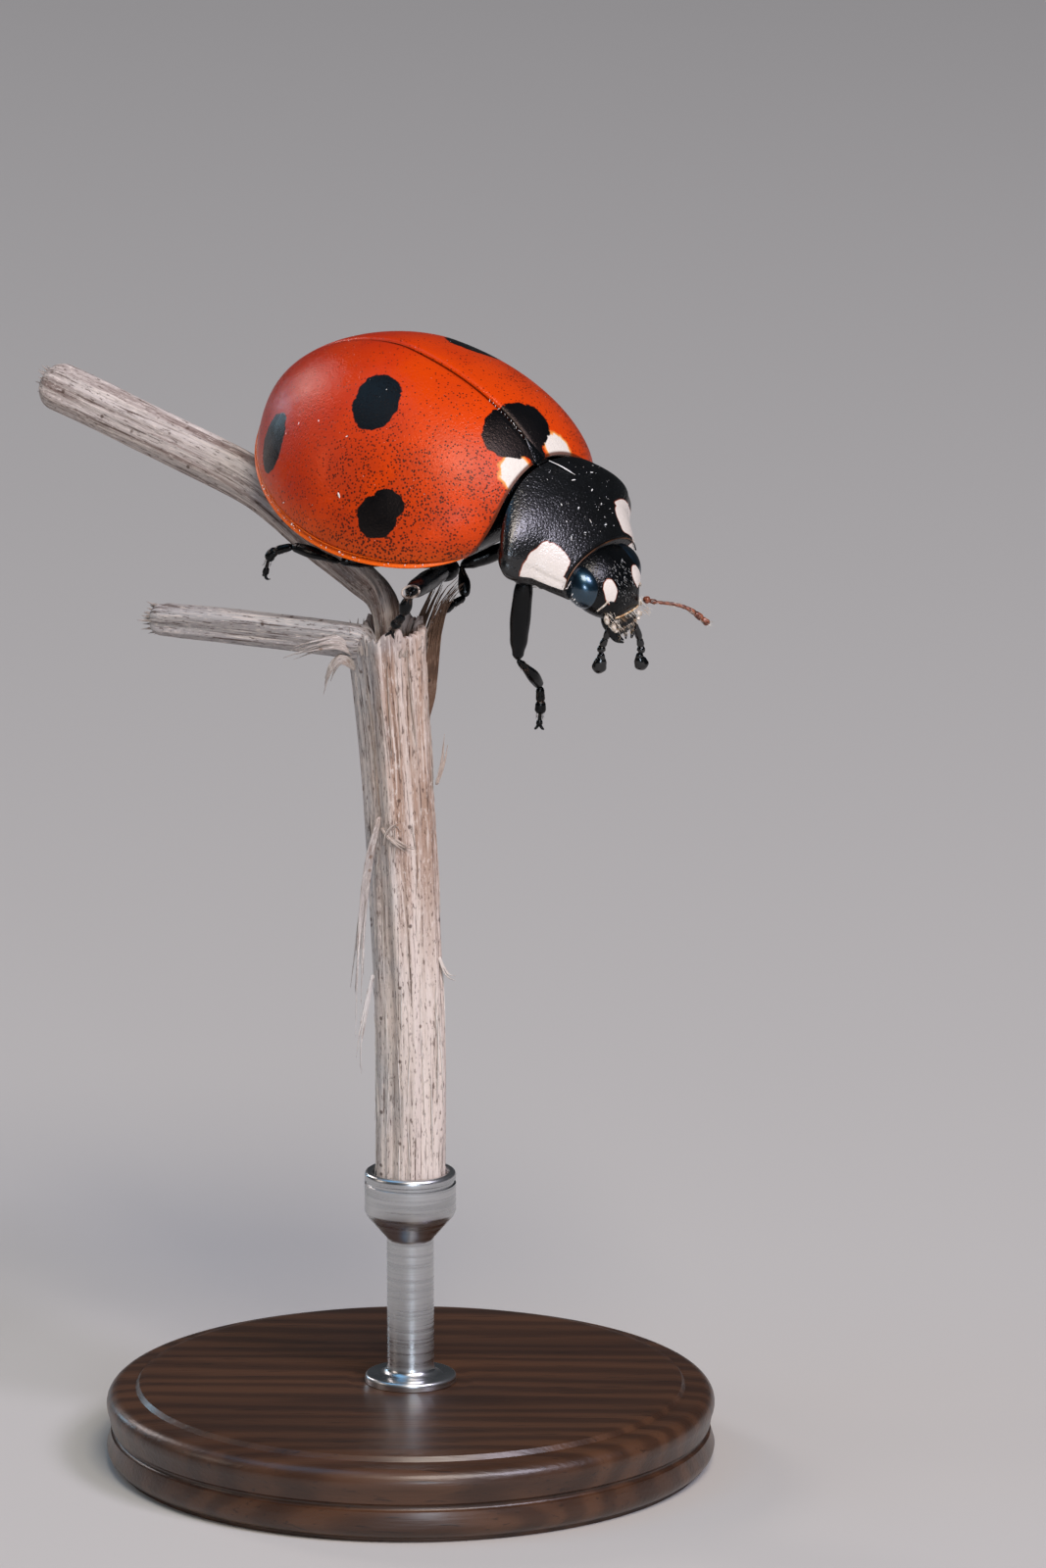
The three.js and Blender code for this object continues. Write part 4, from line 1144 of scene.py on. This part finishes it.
def addStrip(bm, points, width, count):
    # a bundle of fibres that lie side by side along a curve and part towards its end
    steps = 24
    frames = smoothLine(points, steps)[0]
    for i in range(count):
        offset = mix(-0.5, 0.5, i / (count - 1)) * width
        end = round(steps * draw(0.72, 1.0))
        stray = drawVector() * 0.06
        line = []
        for f, spread in ((0, 0.3), (0.33, 0.9), (0.66, 0.75), (1, 0.6)):
            point, side, up = frames[round(end * f)]
            line.append(point + side * offset * spread + stray * f ** 2)
        rollTube(bm, line, torn["fibreRadius"], 6, 14, 0.6, steps)


bm = bmesh.new()
for strip in torn["husks"]:
    addStrip(bm, *strip)
keepPiece("husk_flaps", bm, benchPlace, huskFinish)

bm = bmesh.new()
for strip in torn["strips"] + torn["scar"]:
    addStrip(bm, *strip)
for i in range(torn["splinters"]):  # round the broken top
    angle = 2 * pi * i / torn["splinters"] + draw(-0.08, 0.08)
    out = Vector((cos(angle), sin(angle), 0))
    foot = Vector(torn["splinterFoot"]) + out * torn["splinterRing"]
    lean = out * draw(-0.05, 0.16)
    rise = Vector((0, 0, draw(0.2, 0.55)))
    line = [foot, foot + lean * 0.4 + rise * 0.5, foot + lean + rise]
    rollTube(bm, line, torn["splinterRadius"], 6, 8, 0.4, 12)
for tip, ahead in torn["shootEnds"]:
    ahead = Vector(ahead)
    for i in range(torn["endFibres"]):
        out = drawVector()
        out = (out - ahead * out.dot(ahead)).normalized() * draw(0.05, 0.24)
        foot = Vector(tip) - ahead * 0.35 + out
        reach = draw(0.3, 0.5)
        rollTube(bm, [foot, foot + ahead * reach * 0.6, foot + ahead * reach + out * 0.2],
                 torn["endRadius"], 6, 8, 0.5, 12)
keepPiece("torn_fibres", bm, benchPlace, pithFinish)

# Loose fibres that lie along the stem and lift a little at their ends.
bm = bmesh.new()
for i in range(torn["looseFibres"]):
    angle, low = draw(0, 2 * pi), draw(0.02, 0.88)
    high = min(0.98, low + draw(0.05, 0.22))
    drift, lift = draw(-0.12, 0.12), draw(-0.005, 0.02)
    line = []
    for k in range(6):
        share, turned = mix(low, high, k / 5), angle + drift * k / 5
        rise = lift + (draw(0, 0.03) if k in (0, 5) else 0)
        line.append(stemPoint(share, turned, stemReach(share, turned) + rise))
    rollTube(bm, line, [(0, 0.004), (0.5, draw(0.012, 0.024)), (1, 0.004)], 5, 20, 0.8, 30)
keepPiece("loose_fibres", bm, benchPlace, pithFinish)
print("stalk made")


def turnPiece(part, finish, steps, profile):
    # the profile, in radius and height, spun once round the Z axis
    bm = bmesh.new()
    verts = [bm.verts.new((radius, 0, height)) for radius, height in profile]
    edges = [bm.edges.new(pair) for pair in zip(verts, verts[1:])]
    bmesh.ops.spin(bm, geom=verts + edges, axis=(0, 0, 1), cent=(0, 0, 0), angle=2 * pi,
                   steps=steps, use_merge=True)
    closeSeams(bm, reach=0.0005)
    keepPiece(part + "_turned", bm, benchPlace, finish, [part], sharpAngle=38)


def arcPoints(x, z, radius, start, end, count):
    turns = [radians(mix(start, end, i / count)) for i in range(count + 1)]
    return [(x + radius * cos(turn), z + radius * sin(turn)) for turn in turns]


def makeWalnutFinish():
    # Walnut, turned and oiled: dark brown with finer and darker growth lines, a soft sheen on its edges.
    finish, shader, inMm, add = startFinish("walnut, turned and oiled", {
        "Roughness": 0.38, "Coat Weight": 0.2, "Coat Roughness": 0.2})
    turn = (0, 0, 0.3)
    drawn = add("Mapping", {"Vector": inMm, "Scale": (0.12, 1, 1), "Rotation": turn})
    cloud = add("TexNoise", {"Vector": drawn, "Scale": 0.9, "Detail": 4})
    lines = add("TexWave", {"Vector": drawn, "Scale": 0.55, "Distortion": 7, "Detail": 4,
                            "Detail Scale": 1.4, "bands_direction": "Y"})
    stretched = add("Mapping", {"Vector": inMm, "Scale": (1.2, 14, 14), "Rotation": turn})
    pores = add("TexNoise", {"Vector": stretched, "Scale": 1, "Detail": 2})
    paintLayers(add, shader, {}, "#3d2618", [
        (lines, 0, 1, 0.7, "#5a3b27"), (cloud, 0.35, 0.7, 0.6, "#2c1a11"),
        (pores, 0.62, 0.72, 0.6, "#1c100a")])
    pressRelief(add, shader, [(pores, 0.008)])
    return finish


def makeSteelFinish():
    # Stainless steel, turned: fine rings from the tool, a bright broken reflection.
    finish, shader, inMm, add = startFinish("stainless steel, turned", {"Metallic": 1.0})
    drawn = add("Mapping", {"Vector": inMm, "Scale": (0.6, 0.6, 16)})
    rings = add("TexNoise", {"Vector": drawn, "Scale": 1, "Detail": 3})
    paintLayers(add, shader, {}, "#b9bbbd", [(rings, 0.3, 0.7, 1, "#d4d5d6")])
    pressRelief(add, shader, [(rings, 0.003)])
    rough = add("MapRange", {"Value": rings, "From Min": 0.3, "From Max": 0.7,
                             "To Min": 0.22, "To Max": 0.36})
    setNode(shader, {"Roughness": rough})
    return finish


standBase = {"radius": 5.2, "height": 1.4, "bead": 0.26, "groove": 0.07}
r, h, bead, groove = standBase.values()
turnPiece("stand_base", makeWalnutFinish(), 128, [
    (0.0, 0.0), (r - 0.2, 0.0), (r - 0.2, 0.06), *arcPoints(r - 0.24, 0.3, 0.24, -90, 0, 6),
    *arcPoints(r - groove, 0.62, groove, -90, -270, 6),
    *arcPoints(r - bead, h - bead - 0.12, bead, -30, 90, 10),
    (r - 0.5, h - 0.1), (r - 0.56, h - 0.02), (r - 0.66, h), (r - 1.0, h),
    (2.5, h), (1.1, h), (1.0, h - 0.03), (0.0, h - 0.03)])

standRod = {"radius": 0.4, "cupRadius": 0.78, "wall": 0.15, "cupFloor": 4.36, "rim": 5.1, "foot": 3.9}
rod, cup, wall, cupFloor, rim, foot = standRod.values()
turnPiece("stand_rod", makeSteelFinish(), 72, [
    (0.0, h - 0.02), (0.78, h - 0.02), (0.78, h + 0.04), *arcPoints(0.72, h + 0.06, 0.06, 0, 90, 4),
    *arcPoints(rod + 0.16, h + 0.28, 0.16, -90, -180, 6), (rod, foot - 0.1),
    *arcPoints(rod + 0.1, foot - 0.02, 0.1, 180, 130, 4),
    (cup - 0.04, cupFloor - 0.05), (cup, cupFloor + 0.04), (cup, rim - 0.22),
    (cup - 0.03, rim - 0.2), (cup - 0.03, rim - 0.16), (cup, rim - 0.14),
    *arcPoints(cup - wall / 2, rim - wall / 2, wall / 2, 0, 180, 8),
    (cup - wall, cupFloor + 0.04), (0.0, cupFloor + 0.04)])
print("stand made")

studio = {
    "floorColour": "#c4c1bc", "floorSize": 4.0, "sky": "#dfe6ee", "skyStrength": 0.06,
    # azimuth from the front to the right and height in degrees, distance and size in m, power in W
    "lamps": {"key softbox": (14, 50, 0.3, 0.12, 0.56, "#fff4e8"),
              "rear softbox": (-134, 27, 0.3, 0.07, 0.12, "#fff1ee"),
              "top panel": (-84, 64, 0.35, 0.2, 0.2, "#79b9ea"),
              "left softbox": (-84, 22, 0.3, 0.09, 0.06, "#fff0e4"),
              "rear glint": (-139, 9, 0.3, 0.04, 0.035, "#bfe6ff"),
              "right softbox": (47, 43, 0.3, 0.09, 0.5, "#eeeaff"),
              "front glint": (7, 9, 0.3, 0.05, 0.17, "#dfeeff")},
    "camera": (2.14, -193.58, 57.21), "aim": (1.921, -0.555, 11.977), "lens": 270.1, "sensor": 36,
}


def placeObject(name, data):
    made = bpy.data.objects.new(name, data)
    bpy.context.scene.collection.objects.link(made)
    return made


floorBm = bmesh.new()
bmesh.ops.create_grid(floorBm, x_segments=8, y_segments=8, size=studio["floorSize"] / 2)
floorMesh = bpy.data.meshes.new("floor")
floorBm.to_mesh(floorMesh)
floorBm.free()
# Studio paper: pale, even and matt, so nothing mirrors in it.
floorMesh.materials.append(makePlainFinish("studio paper, matt", studio["floorColour"],
                                           studio["floorColour"], 0.05, 0.85))
floor = placeObject("floor", floorMesh)

world = bpy.data.worlds.new("studio")
bpy.context.scene.world = world
world.use_nodes = True
setNode(world.node_tree.nodes["Background"], {"Color": studio["sky"], "Strength": studio["skyStrength"]})

for name, (azimuth, elevation, distance, size, power, tint) in studio["lamps"].items():
    az, el = radians(azimuth), radians(elevation)
    away = Vector((sin(az) * cos(el), -cos(az) * cos(el), sin(el)))
    lampData = bpy.data.lights.new(name, "AREA")
    lampData.shape, lampData.size, lampData.energy = "SQUARE", size, power
    lampData.color = hexColour(tint)[:3]
    lamp = placeObject(name, lampData)
    lamp.location = beetleSpot * mm + away * distance
    lamp.rotation_euler = away.to_track_quat("Z", "Y").to_euler()

cameraData = bpy.data.cameras.new("camera")
cameraData.lens, cameraData.sensor_width = studio["lens"], studio["sensor"]
cameraData.clip_start, cameraData.clip_end = 0.01, 20
camera = placeObject("camera", cameraData)
camera.location = Vector(studio["camera"]) * mm
camera.rotation_euler = (camera.location - Vector(studio["aim"]) * mm).to_track_quat("Z", "Y").to_euler()
bpy.context.scene.camera = camera
bpy.context.scene.view_settings.view_transform = "Standard"
print("studio made")
